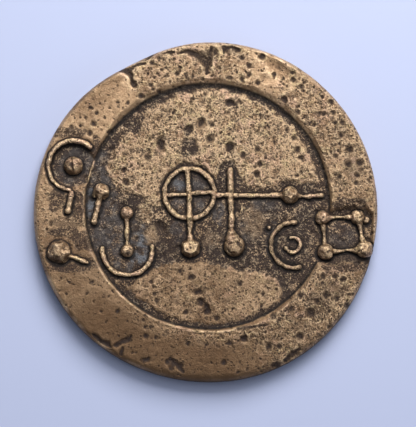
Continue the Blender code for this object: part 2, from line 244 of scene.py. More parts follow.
def pixels(places):
    """Where places on the face lie in the photograph."""
    steps = (places - MIDDLE) / PIXEL
    return PHOTO_MIDDLE[0] + steps[:, 0], PHOTO_MIDDLE[1] - steps[:, 1]


def from_cell(places, size, seed):
    """How far each place is from the nearest of many scattered spots, as a share of their spacing."""
    shift = Vector((seed * 5.19, seed * 2.71, seed * 4.37))
    places = np.column_stack((places, np.zeros(len(places))))
    return np.array([noise.voronoi(Vector(spot) + shift)[0][0] for spot in places / size])


def table_at(values, across):
    """Values that are known at some pixels across, filled in between them."""
    return np.interp(across, list(values), list(values.values()))


def torn(places):
    """How many pixels an outline that passes the places is torn by there."""
    return lumps(places, RAGGED_SIZE, 1, 4) * RAGGED_PIXELS


def reach_from(middle, places):
    """How far places are from a middle, and along which bearings."""
    steps = places - middle
    return np.hypot(steps[:, 0], steps[:, 1]), np.degrees(np.arctan2(steps[:, 1], steps[:, 0])) % 360


def wall_share_at(places):
    """How far up the wall round the field each place is, from 0 in the field to 1 on the rim."""
    reach, bearings = reach_from(FIELD_MIDDLE, places)
    return np.sin(np.clip((reach - field_edge_radius(bearings)) / wall_width(bearings), 0, 1) * math.pi / 2)


def in_ellipses(ellipses, across, down, ragged):
    """How deep in any of the ellipses each pixel is, times that ellipse's share."""
    inside = np.zeros(len(across))
    for spot_across, spot_down, half_width, half_height, share in ellipses:
        reach = np.hypot((across - spot_across) / half_width, (down - spot_down) / half_height)
        inside = np.maximum(inside, share * smooth_step(1.2, 0.8, reach + ragged))
    return inside


across, down = pixels(place)
ragged = torn(place)
field_reach, field_bearing = reach_from(FIELD_MIDDLE, place)
inside_band = (FIELD_RADIUS - field_reach) / PIXEL - round_the_disc(LOW_BANDS, field_bearing)
wheel_across, wheel_down, wheel_reach = WHEEL_CLEARING
outside_wheel = np.hypot(across - wheel_across, down - wheel_down) - wheel_reach
upper_patch = np.minimum(np.minimum(table_at(UPPER_PATCH_FOOT, across) - down, outside_wheel), inside_band)
upper_patch = smooth_step(-PLATEAU_SLOPE / 2, PLATEAU_SLOPE / 2, upper_patch + ragged)
lower_patch = np.minimum(down - table_at(LOWER_PATCH_HEAD, across), inside_band)
lower_patch = smooth_step(-PLATEAU_SLOPE / 2, PLATEAU_SLOPE / 2, lower_patch + ragged)
island = in_ellipses(ISLANDS, across, down, ragged * 0.12)
recess = in_ellipses(RECESSES, across, down, ragged * 0.10)
patch = np.maximum(np.maximum(upper_patch, lower_patch), island) * (1 - recess)

rim_height = RIM_TOP + RIM_SWELL * lumps(place, BROAD_SWELL, 2)
rim_height += 0.4 * RIM_SWELL * lumps(place, HAND_SWELL, 3)
field_height = FIELD_GROUND + GROUND_SWELL * lumps(place, SCRAPE_SWELL, 4) + PLATEAU_RISE * patch
past_edge = field_reach - field_edge_radius(field_bearing)
crevice = FOOT_CREVICE * bell(past_edge, FOOT_CREVICE_WIDTH)
wall_share = wall_share_at(place)
past_wall = past_edge - wall_width(field_bearing)
height = field_height * (1 - wall_share) + rim_height * wall_share - crevice
height += round_the_disc(LIP_RISES, field_bearing) * bell(past_wall + LIP_INSET, LIP_WIDTH)


# The two hollows that open from the field into the rim, one on each side.
# Each was pressed into the wax for its own sign. A thin low ridge of the rim is left between the
# left one and the field, and a thin lip outside the right one.
HOOK_HOLLOW = (73.9, 165.6, 21.4)
HOOK_GROUND = 0.00262
HOOK_RIDGE = 0.00308
HOOK_RIDGE_WIDTH = 0.00026
HOOK_RIDGE_SHIFT = 0.0001
# The ridge fades out between these reaches from the hollow's middle, in pixels
HOOK_RIDGE_ENDS = (26, 19)
SQUARE_HOLLOW = (311, 372.6, 209, 262.5)
SQUARE_HOLLOW_CORNER = 8
# Its sides turn from steep to gentle between these pixels across
SQUARE_HOLLOW_TURN = (371, 364)
SQUARE_GROUND = 0.00264


def in_hollows(across, down, ragged):
    """How deep in the hook's hollow and in the square's hollow each pixel is, from 0 to 1."""
    hook_reach = np.hypot(across - HOOK_HOLLOW[0], down - HOOK_HOLLOW[1]) + 0.35 * ragged
    in_hook = smooth_step(HOOK_HOLLOW[2] + 1.4, HOOK_HOLLOW[2] - 1.6, hook_reach)
    left, right, top, foot = SQUARE_HOLLOW
    half_across = (right - left) / 2 - SQUARE_HOLLOW_CORNER
    half_down = (foot - top) / 2 - SQUARE_HOLLOW_CORNER
    past_across = np.maximum(np.abs(across - (left + right) / 2) - half_across, 0)
    past_down = np.maximum(np.abs(down - (top + foot) / 2) - half_down, 0)
    past_square = np.hypot(past_across, past_down) - SQUARE_HOLLOW_CORNER
    # Its upper and lower sides slope gently and unevenly, and its outer side is steep
    gentle = smooth_step(*SQUARE_HOLLOW_TURN, across)
    past_square = past_square + ragged * (0.2 + 1.3 * gentle)
    in_square = smooth_step(1.4 + 2.2 * gentle, -1.4 - 1.2 * gentle, past_square)
    return in_hook, in_square


in_hook, in_square = in_hollows(across, down, ragged)
hollow_ground = HOOK_GROUND + GROUND_SWELL * lumps(place, SKIN_LUMP, 5)
height = height * (1 - in_hook) + hollow_ground * in_hook
off_ridge = field_reach - FIELD_RADIUS - HOOK_RIDGE_SHIFT
hook_side = np.hypot(across - HOOK_HOLLOW[0], down - HOOK_HOLLOW[1])
on_ridge = bell(off_ridge, HOOK_RIDGE_WIDTH) * smooth_step(*HOOK_RIDGE_ENDS, hook_side)
on_ridge = on_ridge * (0.75 + 0.4 * lumps(place, SKIN_LUMP, 13))
height = np.maximum(height, FIELD_GROUND + (HOOK_RIDGE - FIELD_GROUND) * on_ridge)
square_ground = SQUARE_GROUND + GROUND_SWELL * lumps(place, SKIN_LUMP, 6)
height = height * (1 - in_square) + np.minimum(square_ground, height) * in_square


# The skin that the casting left: spongy in some places and rubbed smooth in others.
# Gas and sand left small pits all over it, thickest low on the right, and the wax was nicked before casting.
# Roughness by bearing round the rim, from 0 where it is smooth to 1 where it is spongy
RIM_ROUGHNESS = {
    0: 0.65, 12: 0.8, 30: 0.9, 45: 0.85, 58: 0.7, 64: 0.2, 70: 0.3, 76: 0.65, 90: 0.75, 105: 0.8,
    117: 0.65, 123: 0.2, 140: 0.2, 155: 0.28, 170: 0.4, 190: 0.4, 205: 0.2, 225: 0.15, 245: 0.22,
    262: 0.35, 275: 0.18, 285: 0.35, 300: 0.9, 320: 1.0, 335: 0.95, 345: 0.8,
}
UPPER_PATCH_ROUGHNESS = 0.9
LOWER_PATCH_ROUGHNESS = 0.55
GROUND_ROUGHNESS = 0.6
SPONGE_HEIGHT = 0.00006
SPONGE_PIT = 0.00011
GRAIN_HEIGHT = 0.000022
SPONGE_SIZE = 0.0010
LARGE_CELLS = 0.0015
SMALL_CELLS = 0.0009
GRAIN_SIZE = 0.0005
# The pits are pulled out of round by so much, in lumps of that size
WARP = 0.00022
WARP_SIZE = 0.0008

# The pits that can be told apart: the pixel of each and its radius in pixels
PITS_UPPER_LEFT_RIM = (
    (91, 108, 2.6), (100, 104, 1.8), (97, 113, 2.4), (81, 118, 1.5), (86, 118, 2), (94, 124, 3),
    (81, 126, 2.2), (105, 118, 1.7), (114, 119, 1.4), (110, 108, 1.7), (118, 103, 2), (128, 103, 2.2),
    (123, 108, 1.4), (141, 96, 3.2), (134, 85, 3), (159, 92, 2.6), (151, 85, 2.2), (142, 78, 1.4),
    (162, 70, 2), (166, 68, 1.5), (177, 74, 2.8), (180, 68, 2.2), (186, 77, 2), (170, 82, 2),
    (203, 79, 2.2), (152, 63, 2.4), (90, 133, 3), (109, 132, 2.4), (72, 127, 2.6), (67, 133, 2.4),
    (74, 133, 2),
)
PITS_UPPER_RIGHT_RIM = (
    (215, 52, 4), (226, 50, 4), (236, 51, 3), (242, 58, 2.8), (249, 66, 2.8), (220, 69, 1.8),
    (235, 66, 1.6), (249, 75, 3), (242, 79, 3), (258, 83, 2.8), (274, 75, 2.8), (283, 79, 2),
    (293, 80, 3), (292, 73, 2.4), (301, 87, 3), (322, 97, 2.4), (331, 102, 3.2), (297, 112, 3),
    (319, 113, 2.4), (324, 114, 2.6), (333, 113, 3), (314, 125, 2.6), (335, 123, 2.4), (342, 123, 3),
    (341, 135, 3.6), (349, 149, 4.4), (335, 156, 2.6), (348, 164, 4), (359, 163, 4.5), (339, 177, 3.2),
    (357, 175, 3.2), (356, 183, 2.8), (336, 183, 2),
)
PITS_LOWER_LEFT_RIM = (
    (51, 225, 2), (92, 282, 2.4), (101, 286, 1.5), (87, 293, 1.8), (94, 301, 1.5), (104, 297, 1.5),
    (118, 311, 2.8), (146, 336, 3), (156, 337, 2.4), (144, 360, 3), (148, 359, 2.6), (168, 362, 3),
    (173, 364, 3.2), (171, 368, 2.4), (181, 365, 3), (188, 343, 2.5), (151, 327, 2.2), (122, 351, 2),
)
PITS_LOWER_RIGHT_RIM = (
    (323, 276, 3.5), (335, 276, 3), (343, 279, 3.2), (300, 295, 3.4), (326, 295, 4.2), (336, 298, 3.5),
    (310, 313, 5.2), (317, 301, 3.2), (347, 305, 3.6), (300, 336, 4.2), (292, 355, 3), (297, 353, 3),
    (279, 346, 3), (269, 346, 3.6), (273, 316, 3.4), (277, 365, 4), (242, 328, 2), (229, 343, 2.5),
    (224, 362, 2.8), (238, 372, 2),
)
PITS_UPPER_FIELD = (
    (112, 149, 3), (124, 170, 3.5), (126, 182, 4.5), (148, 157, 3.8), (174, 113, 2.4), (201, 123, 5),
    (190, 129, 4), (193, 99, 2.4), (205, 94, 2), (239, 101, 2.6), (212, 125, 3.2), (210, 139, 5),
    (221, 144, 2), (260, 115, 2.4), (287, 130, 3), (294, 138, 3), (258, 149, 3), (243, 155, 3.8),
    (265, 158, 1.8), (267, 167, 1.8), (297, 150, 3.8), (301, 158, 3.4), (297, 175, 2.4),
    (301, 172, 2.2),
)
PITS_LOWER_FIELD = (
    (151, 282, 2.4), (180, 271, 2.8), (192, 277, 3.5), (154, 294, 2), (157, 301, 3), (196, 292, 3.8),
    (186, 312, 3), (217, 318, 3), (240, 284, 3), (263, 294, 2.5), (242, 270, 2.6),
)
DEEP_PITS = (
    (262, 57, 4), (284, 100, 3.8), (230, 147, 5.5), (260, 164, 3.4), (257, 174, 3.8),
    (160, 227, 6.2), (201, 302, 4.5), (206, 306, 4), (206, 311, 3.6), (244, 338, 4),
)
SHALLOW_DENTS = ((264, 79, 5), (157, 118, 5), (272, 139, 7))
# Long pits: the middle of each, its half width and half height, its turn in degrees and its depth
LONG_PITS = (
    (160.8, 144, 4.2, 8.8, -8, 0.00034), (200.6, 301.5, 4.8, 4.2, 0, 0.00032),
    (207.5, 309.5, 3.2, 6, -25, 0.00030), (145.5, 360, 5.5, 2.3, 5, 0.00020),
    (275.5, 364.5, 5.5, 3.3, -10, 0.00026), (230.5, 102.6, 6.5, 3, 12, 0.00022),
    (229, 343.3, 4.5, 1.8, 0, 0.00016), (198, 292, 4.5, 3, 0, 0.00022),
    (230, 78.5, 4, 1.8, 0, 0.00014),
)
# Wide smooth dents, given the same way
LONG_DENTS = (
    (278, 67.5, 22, 8.5, 41, 0.00038), (158.5, 140, 8, 14, -15, 0.00012),
    (124, 340, 14, 8, -20, 0.00010),
)
PIT_DEPTH = 0.42
DEEP_PIT_DEPTH = 0.62
DENT_DEPTH = 0.16
PIT_DEPTH_LIMIT = 0.00040

# Gouges: the pixels that each one runs through with its half width there, and its depth
GOUGES = (
    (
        ((119.5, 70.8, 1.4), (126, 70.5, 3.2), (131, 75.5, 2.6), (131.8, 80, 1.5), (134.4, 85.7, 3)),
        0.00036,
    ),
    (((126, 70.2, 2.8), (133, 68.8, 1.8)), 0.00032),
    (((133, 66.5, 1.2), (139, 65, 1.8), (145, 63.5, 1.1)), 0.00022),
    (((146.5, 59, 0.9), (150, 57, 2.0), (153.5, 55.4, 0.9)), 0.00022),
    (((165, 53.8, 1.0), (170, 52.8, 2.0), (174.5, 52.7, 1.2)), 0.00024),
    (
        (
            (181, 52.7, 1.2), (187, 51.8, 2.8), (197.5, 55.5, 4), (205, 61, 4.6), (207.5, 67, 3.4),
            (206, 74, 1.7),
        ),
        0.00030,
    ),
    (((211.5, 48, 2), (210, 56, 3.6), (208, 64, 3)), 0.00028),
    (((223.5, 53, 1.4), (224.4, 47.8, 2.4), (231, 47.8, 1.5), (238, 50.5, 3)), 0.00028),
    (((93, 334, 1.2), (97, 337, 3.0), (102, 342, 2.2), (107, 343.5, 3.2), (111, 347, 1.4)), 0.00028),
    (
        ((131.5, 335.5, 2.0), (128, 339.5, 3.2), (121, 342, 2.2), (117, 344.5, 2.6), (114, 345.5, 1.2)),
        0.00022,
    ),
    (((122.6, 348, 1.6), (121.2, 354, 2.2)), 0.00020),
    (((170.4, 358.4, 2.5), (176, 363, 3.2), (183.4, 371.3, 1.5)), 0.00020),
    (((238, 328.5, 2.1), (252, 326.5, 1.6), (267, 325, 0.9)), 0.00014),
    (((299, 349, 2.2), (292, 354, 3.2), (285, 361, 2.2)), 0.00026),
    (((67, 280, 0.9), (76, 286, 0.9)), 0.00006),
)
# How much rougher the rim is beside its inner lip, by bearing
LIP_ROUGHNESS = {0: 0, 190: 0, 225: 0.08, 250: 0.35, 275: 0.5, 305: 0.4, 330: 0}
ROUGH_LIP_OUT = 0.0008
ROUGH_LIP_WIDTH = 0.0011
# Smaller pits are strewn over the spongy places: how many are tried, and their radii in pixels
STREWN_TRIES = 3400
STREWN_RADII = (1.0, 2.3)


def along_route(places, route):
    """How far places are from a route of straight pieces, as a share of its half width there."""
    nearest = np.full(len(places), np.inf)
    for start, end in zip(route, route[1:]):
        run = np.array(end[:2]) - start[:2]
        share = np.clip(((places - start[:2]) @ run) / (run @ run), 0, 1)
        off = np.hypot(*(places - start[:2] - share[:, None] * run).T)
        nearest = np.minimum(nearest, off / (start[2] + (end[2] - start[2]) * share))
    return nearest


def in_long(spot, across, down):
    """How far pixels are from the middle of a long pit or dent, as a share of its size."""
    run = towards(spot[4])
    over = (across - spot[0]) * run[0] + (down - spot[1]) * run[1]
    under = (down - spot[1]) * run[0] - (across - spot[0]) * run[1]
    return np.hypot(over / spot[2], under / spot[3])


near_lip = bell(past_wall - ROUGH_LIP_OUT, ROUGH_LIP_WIDTH)
rim_roughness = round_the_disc(RIM_ROUGHNESS, bearing) + near_lip * round_the_disc(LIP_ROUGHNESS, bearing)
patch_roughness = np.where(down < 230, UPPER_PATCH_ROUGHNESS, LOWER_PATCH_ROUGHNESS)
field_roughness = GROUND_ROUGHNESS + (patch_roughness - GROUND_ROUGHNESS) * patch
roughness = field_roughness * (1 - wall_share) + rim_roughness * wall_share
wall_only = bell(in_wall - 0.5, 0.28) * (in_wall > 0) * (in_wall < 1)
roughness = roughness * (1 - 0.7 * wall_only) * (1 - 0.5 * in_roll)
roughness = roughness * (1 - 0.3 * np.maximum(in_hook, in_square))

warp = np.column_stack([lumps(place, WARP_SIZE, seed, 2) for seed in (7, 8)]) * WARP
bent = place + warp
bent_across, bent_down = pixels(bent)
sponge = SPONGE_HEIGHT * lumps(bent, SPONGE_SIZE, 9, 3)
sponge -= SPONGE_PIT * smooth_step(0.42, 0.12, from_cell(bent, LARGE_CELLS, 10))
sponge -= 0.7 * SPONGE_PIT * smooth_step(0.45, 0.15, from_cell(bent, SMALL_CELLS, 11))
height += sponge * roughness
height += GRAIN_HEIGHT * lumps(place, GRAIN_SIZE, 12, 2)

pit = np.zeros(len(place))
pitted = np.zeros(len(place))
plain_pits = PITS_UPPER_LEFT_RIM + PITS_UPPER_RIGHT_RIM + PITS_LOWER_LEFT_RIM + PITS_LOWER_RIGHT_RIM
plain_pits += PITS_UPPER_FIELD + PITS_LOWER_FIELD
for pits, depth_share in ((plain_pits, PIT_DEPTH), (DEEP_PITS, DEEP_PIT_DEPTH), (SHALLOW_DENTS, DENT_DEPTH)):
    for spot_across, spot_down, spot_radius in pits:
        reach = np.hypot(bent_across - spot_across, bent_down - spot_down) / spot_radius
        depth = min(depth_share * spot_radius * PIXEL, PIT_DEPTH_LIMIT)
        pit = np.maximum(pit, depth * smooth_step(1.25, 0.2, reach))
        if pits is not SHALLOW_DENTS:
            pitted = np.maximum(pitted, 1.5 - reach)

strew = random.Random(5)
tree = kdtree.KDTree(len(place))
for index, spot in enumerate(bent):
    tree.insert((spot[0], spot[1], 0.0), index)
tree.balance()
for attempt in range(STREWN_TRIES):
    reach = DISC_RADIUS * math.sqrt(strew.random())
    turn = 2 * math.pi * strew.random()
    radius = PIXEL * (STREWN_RADII[0] + (STREWN_RADII[1] - STREWN_RADII[0]) * strew.random() ** 2)
    chance = strew.random()
    depth = PIT_DEPTH * radius * (0.6 + 0.6 * strew.random())
    spot = Vector((MIDDLE[0] + reach * math.cos(turn), MIDDLE[1] + reach * math.sin(turn), 0.0))
    nearest = tree.find(spot)[1]
    if chance > roughness[nearest] ** 1.3:
        continue
    for point, index, distance in tree.find_range(spot, radius * 1.3):
        pit[index] = max(pit[index], depth * smooth_step(1.25, 0.2, distance / radius))
        pitted[index] = max(pitted[index], 1.25 - distance / radius)

for long_pit in LONG_PITS:
    reach = in_long(long_pit, bent_across, bent_down)
    pit = np.maximum(pit, long_pit[5] * smooth_step(1.25, 0.3, reach))
    pitted = np.maximum(pitted, 1.5 - reach)
for long_dent in LONG_DENTS:
    reach = in_long(long_dent, across, down)
    pit = pit + long_dent[5] * np.exp(-1.6 * reach**2)

gouge = np.zeros(len(place))
bent_pixels = np.column_stack((bent_across, bent_down))
for route, depth in GOUGES:
    reach = along_route(bent_pixels, route)
    gouge = np.maximum(gouge, depth * smooth_step(1.4, 0.2, reach))
    pitted = np.maximum(pitted, 1.5 - reach)
height -= np.maximum(pit, gouge) * (1 - 0.6 * in_roll)

face_verts = disc.verts[:]
for vertex, (x, y), z, drop in zip(face_verts, place, height, roll_drop):
    vertex.co = (x, y, z - drop)


# The side and the back of the disc, which the photograph doesn't show.
# The side is a short upright band under the rolled edge. The back is plain and flat, as poured, with the
# faint swell and the few small pits of an open casting.
SIDE_ROWS = 5
BACK_ROUND = 0.0006
BACK_RINGS = 34
BACK_SEAM = 0.0008
BACK_SWELL = 0.00003
BACK_PIT = 0.00012
BACK_SWELL_SIZE = 0.006
BACK_PIT_SPACING = 0.0045
SIDE_UNEVENNESS = 0.00004


def edge_loop(mesh):
    """The mesh's open border edges."""
    return [edge for edge in mesh.edges if edge.is_boundary]


def lower_border(height, inset):
    """Draws the disc's open border down to that height, that far inside the outline."""
    drawn = bmesh.ops.extrude_edge_only(disc, edges=edge_loop(disc))["geom"]
    verts = [item for item in drawn if isinstance(item, bmesh.types.BMVert)]
    for vertex in verts:
        spot = Vector((vertex.co.x - MIDDLE[0], vertex.co.y - MIDDLE[1]))
        turned = math.degrees(math.atan2(spot.y, spot.x)) % 360
        reach = outline_radius(np.array([turned]))[0] - inset
        reach -= SIDE_UNEVENNESS * (1 + lumps(np.array([[turned * 0.01, height * 20, 0]]), 0.02, 15, 3)[0])
        step = towards(np.array([turned]))[0] * reach
        vertex.co = (MIDDLE[0] + step[0], MIDDLE[1] + step[1], height)


side_top = RIM_TOP - ROLL_DROP
for row in range(1, SIDE_ROWS + 1):
    lower_border(side_top + (BACK_ROUND - side_top) * row / SIDE_ROWS, 0.0)
for turned in (30, 60, 90):
    angle = math.radians(turned)
    lower_border(BACK_ROUND * (1 - math.sin(angle)), BACK_ROUND * (1 - math.cos(angle)))

back, back_ring, back_bearing = round_grid(BACK_RINGS)
back_radius = DISC_RADIUS - BACK_ROUND - BACK_SEAM
back_place = MIDDLE + towards(back_bearing) * (back_radius * back_ring / BACK_RINGS)[:, None]
inside_back = smooth_step(BACK_RINGS, BACK_RINGS - 3, back_ring)
back_height = BACK_SWELL * np.clip(1 + lumps(back_place, BACK_SWELL_SIZE, 16, 2), 0, 2)
back_height += BACK_PIT * smooth_step(0.22, 0.06, from_cell(back_place, BACK_PIT_SPACING, 17))
for vertex, (x, y), z in zip(back.verts, back_place, back_height * inside_back):
    vertex.co = (x, y, z)
back_sheet = bpy.data.meshes.new("back_sheet")
back.to_mesh(back_sheet)
disc.from_mesh(back_sheet)
bmesh.ops.bridge_loops(disc, edges=edge_loop(disc))
bmesh.ops.recalc_face_normals(disc, faces=disc.faces)


# The hook on the left of the rim, with its hanging tail and the ball in its hollow.
# Like all the signs it is made of thin rolls and balls of wax, bent by hand and fused to the disc before
# casting, so the wires are uneven and round ended and the balls are pressed out of round.
WIRE_SIDES = 12
WIRE_STEP = 0.00014
WIRE_RISE = 0.30
WIRE_WAVER = 0.00009
WIRE_WAVE = 0.0013
WIRE_HEAVE = 0.00003
WIRE_SWELL = 0.28
WIRE_SWELL_SIZE = 0.0007
WIRE_SQUARENESS = 0.88
BALL_SQUASH = 0.88
BALL_RISE = 0.12
BALL_SWELL = 0.08
BALL_UNEVENNESS = 0.045
# Shifts each ball's lumps by its own place, so that no two balls are alike
BALL_APART = 9000
HOOK = (-0.774, 0.275)
HOOK_RADIUS = 0.00368
HOOK_ENDS = (43, 266)
HOOK_WIRE = {0: 0.00034, 0.1: 0.00039, 0.3: 0.00036, 0.5: 0.00031, 0.75: 0.00028, 1: 0.00029}
HOOK_TAIL = ((-0.784, 0.128), (-0.795, 0.060), (-0.809, -0.008))
HOOK_TAIL_WIRE = {0: 0.00044, 0.25: 0.00037, 0.6: 0.00036, 0.85: 0.00043, 1: 0.00044}
HOOK_BALL = 0.00138


def at(across, up):
    """A place on the face from shares of the disc's radius."""
    return MIDDLE + np.array((across, up)) * DISC_RADIUS


def arc(centre, radius, ends, moves=14):
    """Places along an arc between two bearings, bent in so many short moves."""
    return at(*centre) + towards(np.linspace(*ends, moves + 1)) * radius


def even_route(route):
    """The same route with even steps, and its corners eased."""
    route = np.array(route)
    runs = np.hypot(*np.diff(route, axis=0).T)
    travelled = np.concatenate(([0], np.cumsum(runs)))
    steps = max(6, round(travelled[-1] / WIRE_STEP))
    stations = np.linspace(0, travelled[-1], steps + 1)
    even = np.column_stack([np.interp(stations, travelled, route[:, axis]) for axis in (0, 1)])
    for easing in range(3):
        even[1:-1] = (even[:-2] + 2 * even[1:-1] + even[2:]) / 4
    return even


def squared(value):
    """Moves a coordinate of a round section outwards, which makes its top flatter and its sides steeper."""
    return math.copysign(abs(value) ** WIRE_SQUARENESS, value)


def wax_wire(route, half_widths, ground, rise=WIRE_RISE):
    """A roll of wax laid along the route, with its half widths at some shares of the way."""
    route = even_route(route)
    waver = np.column_stack((lumps(route, WIRE_WAVE, 21, 2), lumps(route, WIRE_WAVE, 22, 2))) * WIRE_WAVER
    route = route + waver
    stations = len(route)
    shares = np.linspace(0, 1, stations)
    half = np.interp(shares, list(half_widths), list(half_widths.values()))
    half = half * (1.02 + WIRE_SWELL * lumps(route, WIRE_SWELL_SIZE, 23, 2))
    travelled = shares * np.hypot(*np.diff(route, axis=0).T).sum()
    to_end = np.minimum(travelled, travelled[-1] - travelled) + 0.06 * half
    rounding = np.sqrt(np.clip(1 - (1 - np.clip(to_end / half, 0, 1)) ** 2, 0, 1))
    ahead = np.gradient(route, axis=0)
    ahead /= np.hypot(*ahead.T)[:, None]
    aside = np.column_stack((-ahead[:, 1], ahead[:, 0]))
    middle = ground + rise * half + WIRE_HEAVE * lumps(route, WIRE_WAVE, 24)
    mesh = bmesh.new()
    bmesh.ops.create_cone(mesh, cap_ends=True, segments=WIRE_SIDES, radius1=1, radius2=1, depth=1)
    long_edges = [edge for edge in mesh.edges if abs(edge.verts[0].co.z - edge.verts[1].co.z) > 0.5]
    bmesh.ops.subdivide_edges(mesh, edges=long_edges, cuts=stations - 2, use_grid_fill=True)
    for vertex in mesh.verts:
        index = round((vertex.co.z + 0.5) * (stations - 1))
        reach = half[index] * rounding[index]
        flat = route[index] + aside[index] * squared(vertex.co.x) * reach
        vertex.co = (flat[0], flat[1], middle[index] + squared(vertex.co.y) * reach)
    bmesh.ops.recalc_face_normals(mesh, faces=mesh.faces)
    return mesh


def wax_ball(centre, radius, ground, subdivisions=5, shaping=()):
    """A ball of wax pressed on, which each step of the shaping dents or draws out."""
    mesh = bmesh.new()
    bmesh.ops.create_icosphere(mesh, subdivisions=subdivisions, radius=1.0)
    spots = np.array([vertex.co for vertex in mesh.verts])
    for step, *values in shaping:
        spots = step(spots, *values)
    swell = 1 + BALL_SWELL * lumps(spots + centre[0] * BALL_APART, 0.75, 25)
    swell = swell + BALL_UNEVENNESS * lumps(spots, 0.28, 26, 2)
    spots = spots * swell[:, None]
    for vertex, spot in zip(mesh.verts, spots):
        flat = centre + spot[:2] * radius
        vertex.co = (flat[0], flat[1], ground + BALL_RISE * radius + spot[2] * radius * BALL_SQUASH)
    return mesh


def unit(bearing, elevation):
    """A step of length one along a bearing and an elevation."""
    flat = math.cos(math.radians(elevation))
    angle = math.radians(bearing)
    return np.array((flat * math.cos(angle), flat * math.sin(angle), math.sin(math.radians(elevation))))


def facet(spots, bearing, elevation, depth):
    """Flattens the side of a ball that faces that way."""
    facing = unit(bearing, elevation)
    over = np.maximum(spots @ facing - (1 - depth), 0)
    return spots - over[:, None] * facing * 0.85


def cup(spots, bearing, elevation, reach, depth):
    """Presses a round dent into a ball, or with a depth below zero draws out a peak."""
    facing = unit(bearing, elevation)
    off = np.linalg.norm(spots - facing, axis=1)
    return spots - (depth * bell(off, reach))[:, None] * facing


def crease(spots, bearing, shift, width, depth):
    """Runs a crease over the top of a ball along a bearing."""
    aside = towards(bearing + 90)
    off = spots[:, :2] @ aside - shift
    sunk = depth * bell(off, width) * np.maximum(spots[:, 2], 0)
    return spots - sunk[:, None] * np.array((0, 0, 1))


signs = []
hook_ring = arc(HOOK, HOOK_RADIUS, HOOK_ENDS)
signs.append(wax_wire(hook_ring, HOOK_WIRE, RIM_TOP))
hook_tail = [at(*spot) for spot in HOOK_TAIL]
signs.append(wax_wire(hook_tail, HOOK_TAIL_WIRE, RIM_TOP))
hook_ball_shape = (
    (crease, 95, 0.12, 0.11, 0.22), (cup, 120, 66, 0.40, -0.12), (facet, 250, 35, 0.12),
    (facet, 20, 40, 0.08),
)
signs.append(wax_ball(at(*HOOK), HOOK_BALL, HOOK_GROUND, shaping=hook_ball_shape))


# The pin: a ball on a short leaning stick, in the left of the field.
# The ball was pinched into facets, and the stick ends in a small bead.
PIN_HEAD = (-0.612, 0.125)
PIN_FOOT = (-0.660, -0.070)
PIN_BALL = 0.00122
PIN_DRIP = (-0.654, 0.101)
PIN_DRIP_RADIUS = 0.00040
PIN_WIRE = {0: 0.00062, 0.28: 0.00044, 0.45: 0.00038, 0.8: 0.00037, 0.92: 0.00045, 1: 0.00044}
pin_shape = (
    (facet, 60, 40, 0.20), (facet, 300, 40, 0.22), (facet, 215, 40, 0.18), (facet, 350, 75, 0.08),
    (cup, 118, 50, 0.36, -0.26), (cup, 350, 35, 0.30, -0.14), (cup, 200, 20, 0.25, -0.12),
    (cup, 250, 70, 0.3, 0.08),
)
signs.append(wax_wire([at(*PIN_HEAD), at(*PIN_FOOT)], PIN_WIRE, FIELD_GROUND))
signs.append(wax_ball(at(*PIN_HEAD), PIN_BALL, FIELD_GROUND, shaping=pin_shape))
signs.append(wax_ball(at(*PIN_DRIP), PIN_DRIP_RADIUS, FIELD_GROUND, 3))


# The cup: an upturned crescent with a dumbbell standing in it.
# The crescent was bent in several short moves, which left kinks. The dumbbell's lower ball flares
# like a bell.
CUP = (-0.460, -0.219)
CUP_RADIUS = 0.00366
CUP_ENDS = (169, 374)
CUP_WIRE = {
    0: 0.00030, 0.08: 0.00037, 0.3: 0.00033, 0.5: 0.00029, 0.6: 0.00033, 0.8: 0.00038, 0.93: 0.00033,
    1: 0.00027,
}
DUMBBELL_TOP = (-0.464, -0.001)
DUMBBELL_FOOT = (-0.461, -0.221)
DUMBBELL_BALL = 0.00096
DUMBBELL_WIRE = {
    0: 0.00048, 0.2: 0.00037, 0.5: 0.00036, 0.68: 0.00030, 0.76: 0.00026, 0.84: 0.00042, 0.93: 0.00078,
    1: 0.00095,
}
signs.append(wax_wire(arc(CUP, CUP_RADIUS, CUP_ENDS, 11), CUP_WIRE, FIELD_GROUND))
signs.append(wax_wire([at(*DUMBBELL_TOP), at(*DUMBBELL_FOOT)], DUMBBELL_WIRE, FIELD_GROUND))
signs.append(wax_ball(at(*DUMBBELL_TOP), DUMBBELL_BALL, FIELD_GROUND, 4, ((facet, 80, 45, 0.10),)))
signs.append(wax_ball(at(*DUMBBELL_FOOT), DUMBBELL_BALL, FIELD_GROUND, 4, ((facet, 260, 45, 0.12),)))


# The nugget: a rough lump with a short stick, low on the left of the rim.
# It was pinched flat on several sides, so that bright facets meet in blunt edges.
NUGGET = (-0.857, -0.230)
NUGGET_RADIUS = 0.00178
NUGGET_GROUND = 0.00300
NUGGET_STICK_END = (-0.684, -0.292)
NUGGET_WIRE = {0: 0.00050, 0.36: 0.00032, 0.46: 0.00026, 0.6: 0.00031, 0.85: 0.00031, 1: 0.00027}
nugget_shape = (
    (facet, 150, 55, 0.20), (facet, 40, 50, 0.16), (facet, 250, 35, 0.24), (facet, 95, 25, 0.12),
    (facet, 0, 80, 0.08), (facet, 320, 45, 0.14), (cup, 120, 50, 0.4, -0.10),
    (crease, 60, -0.2, 0.16, 0.10),
)
signs.append(wax_wire([at(*NUGGET), at(*NUGGET_STICK_END)], NUGGET_WIRE, RIM_TOP))
signs.append(wax_ball(at(*NUGGET), NUGGET_RADIUS, NUGGET_GROUND, shaping=nugget_shape))


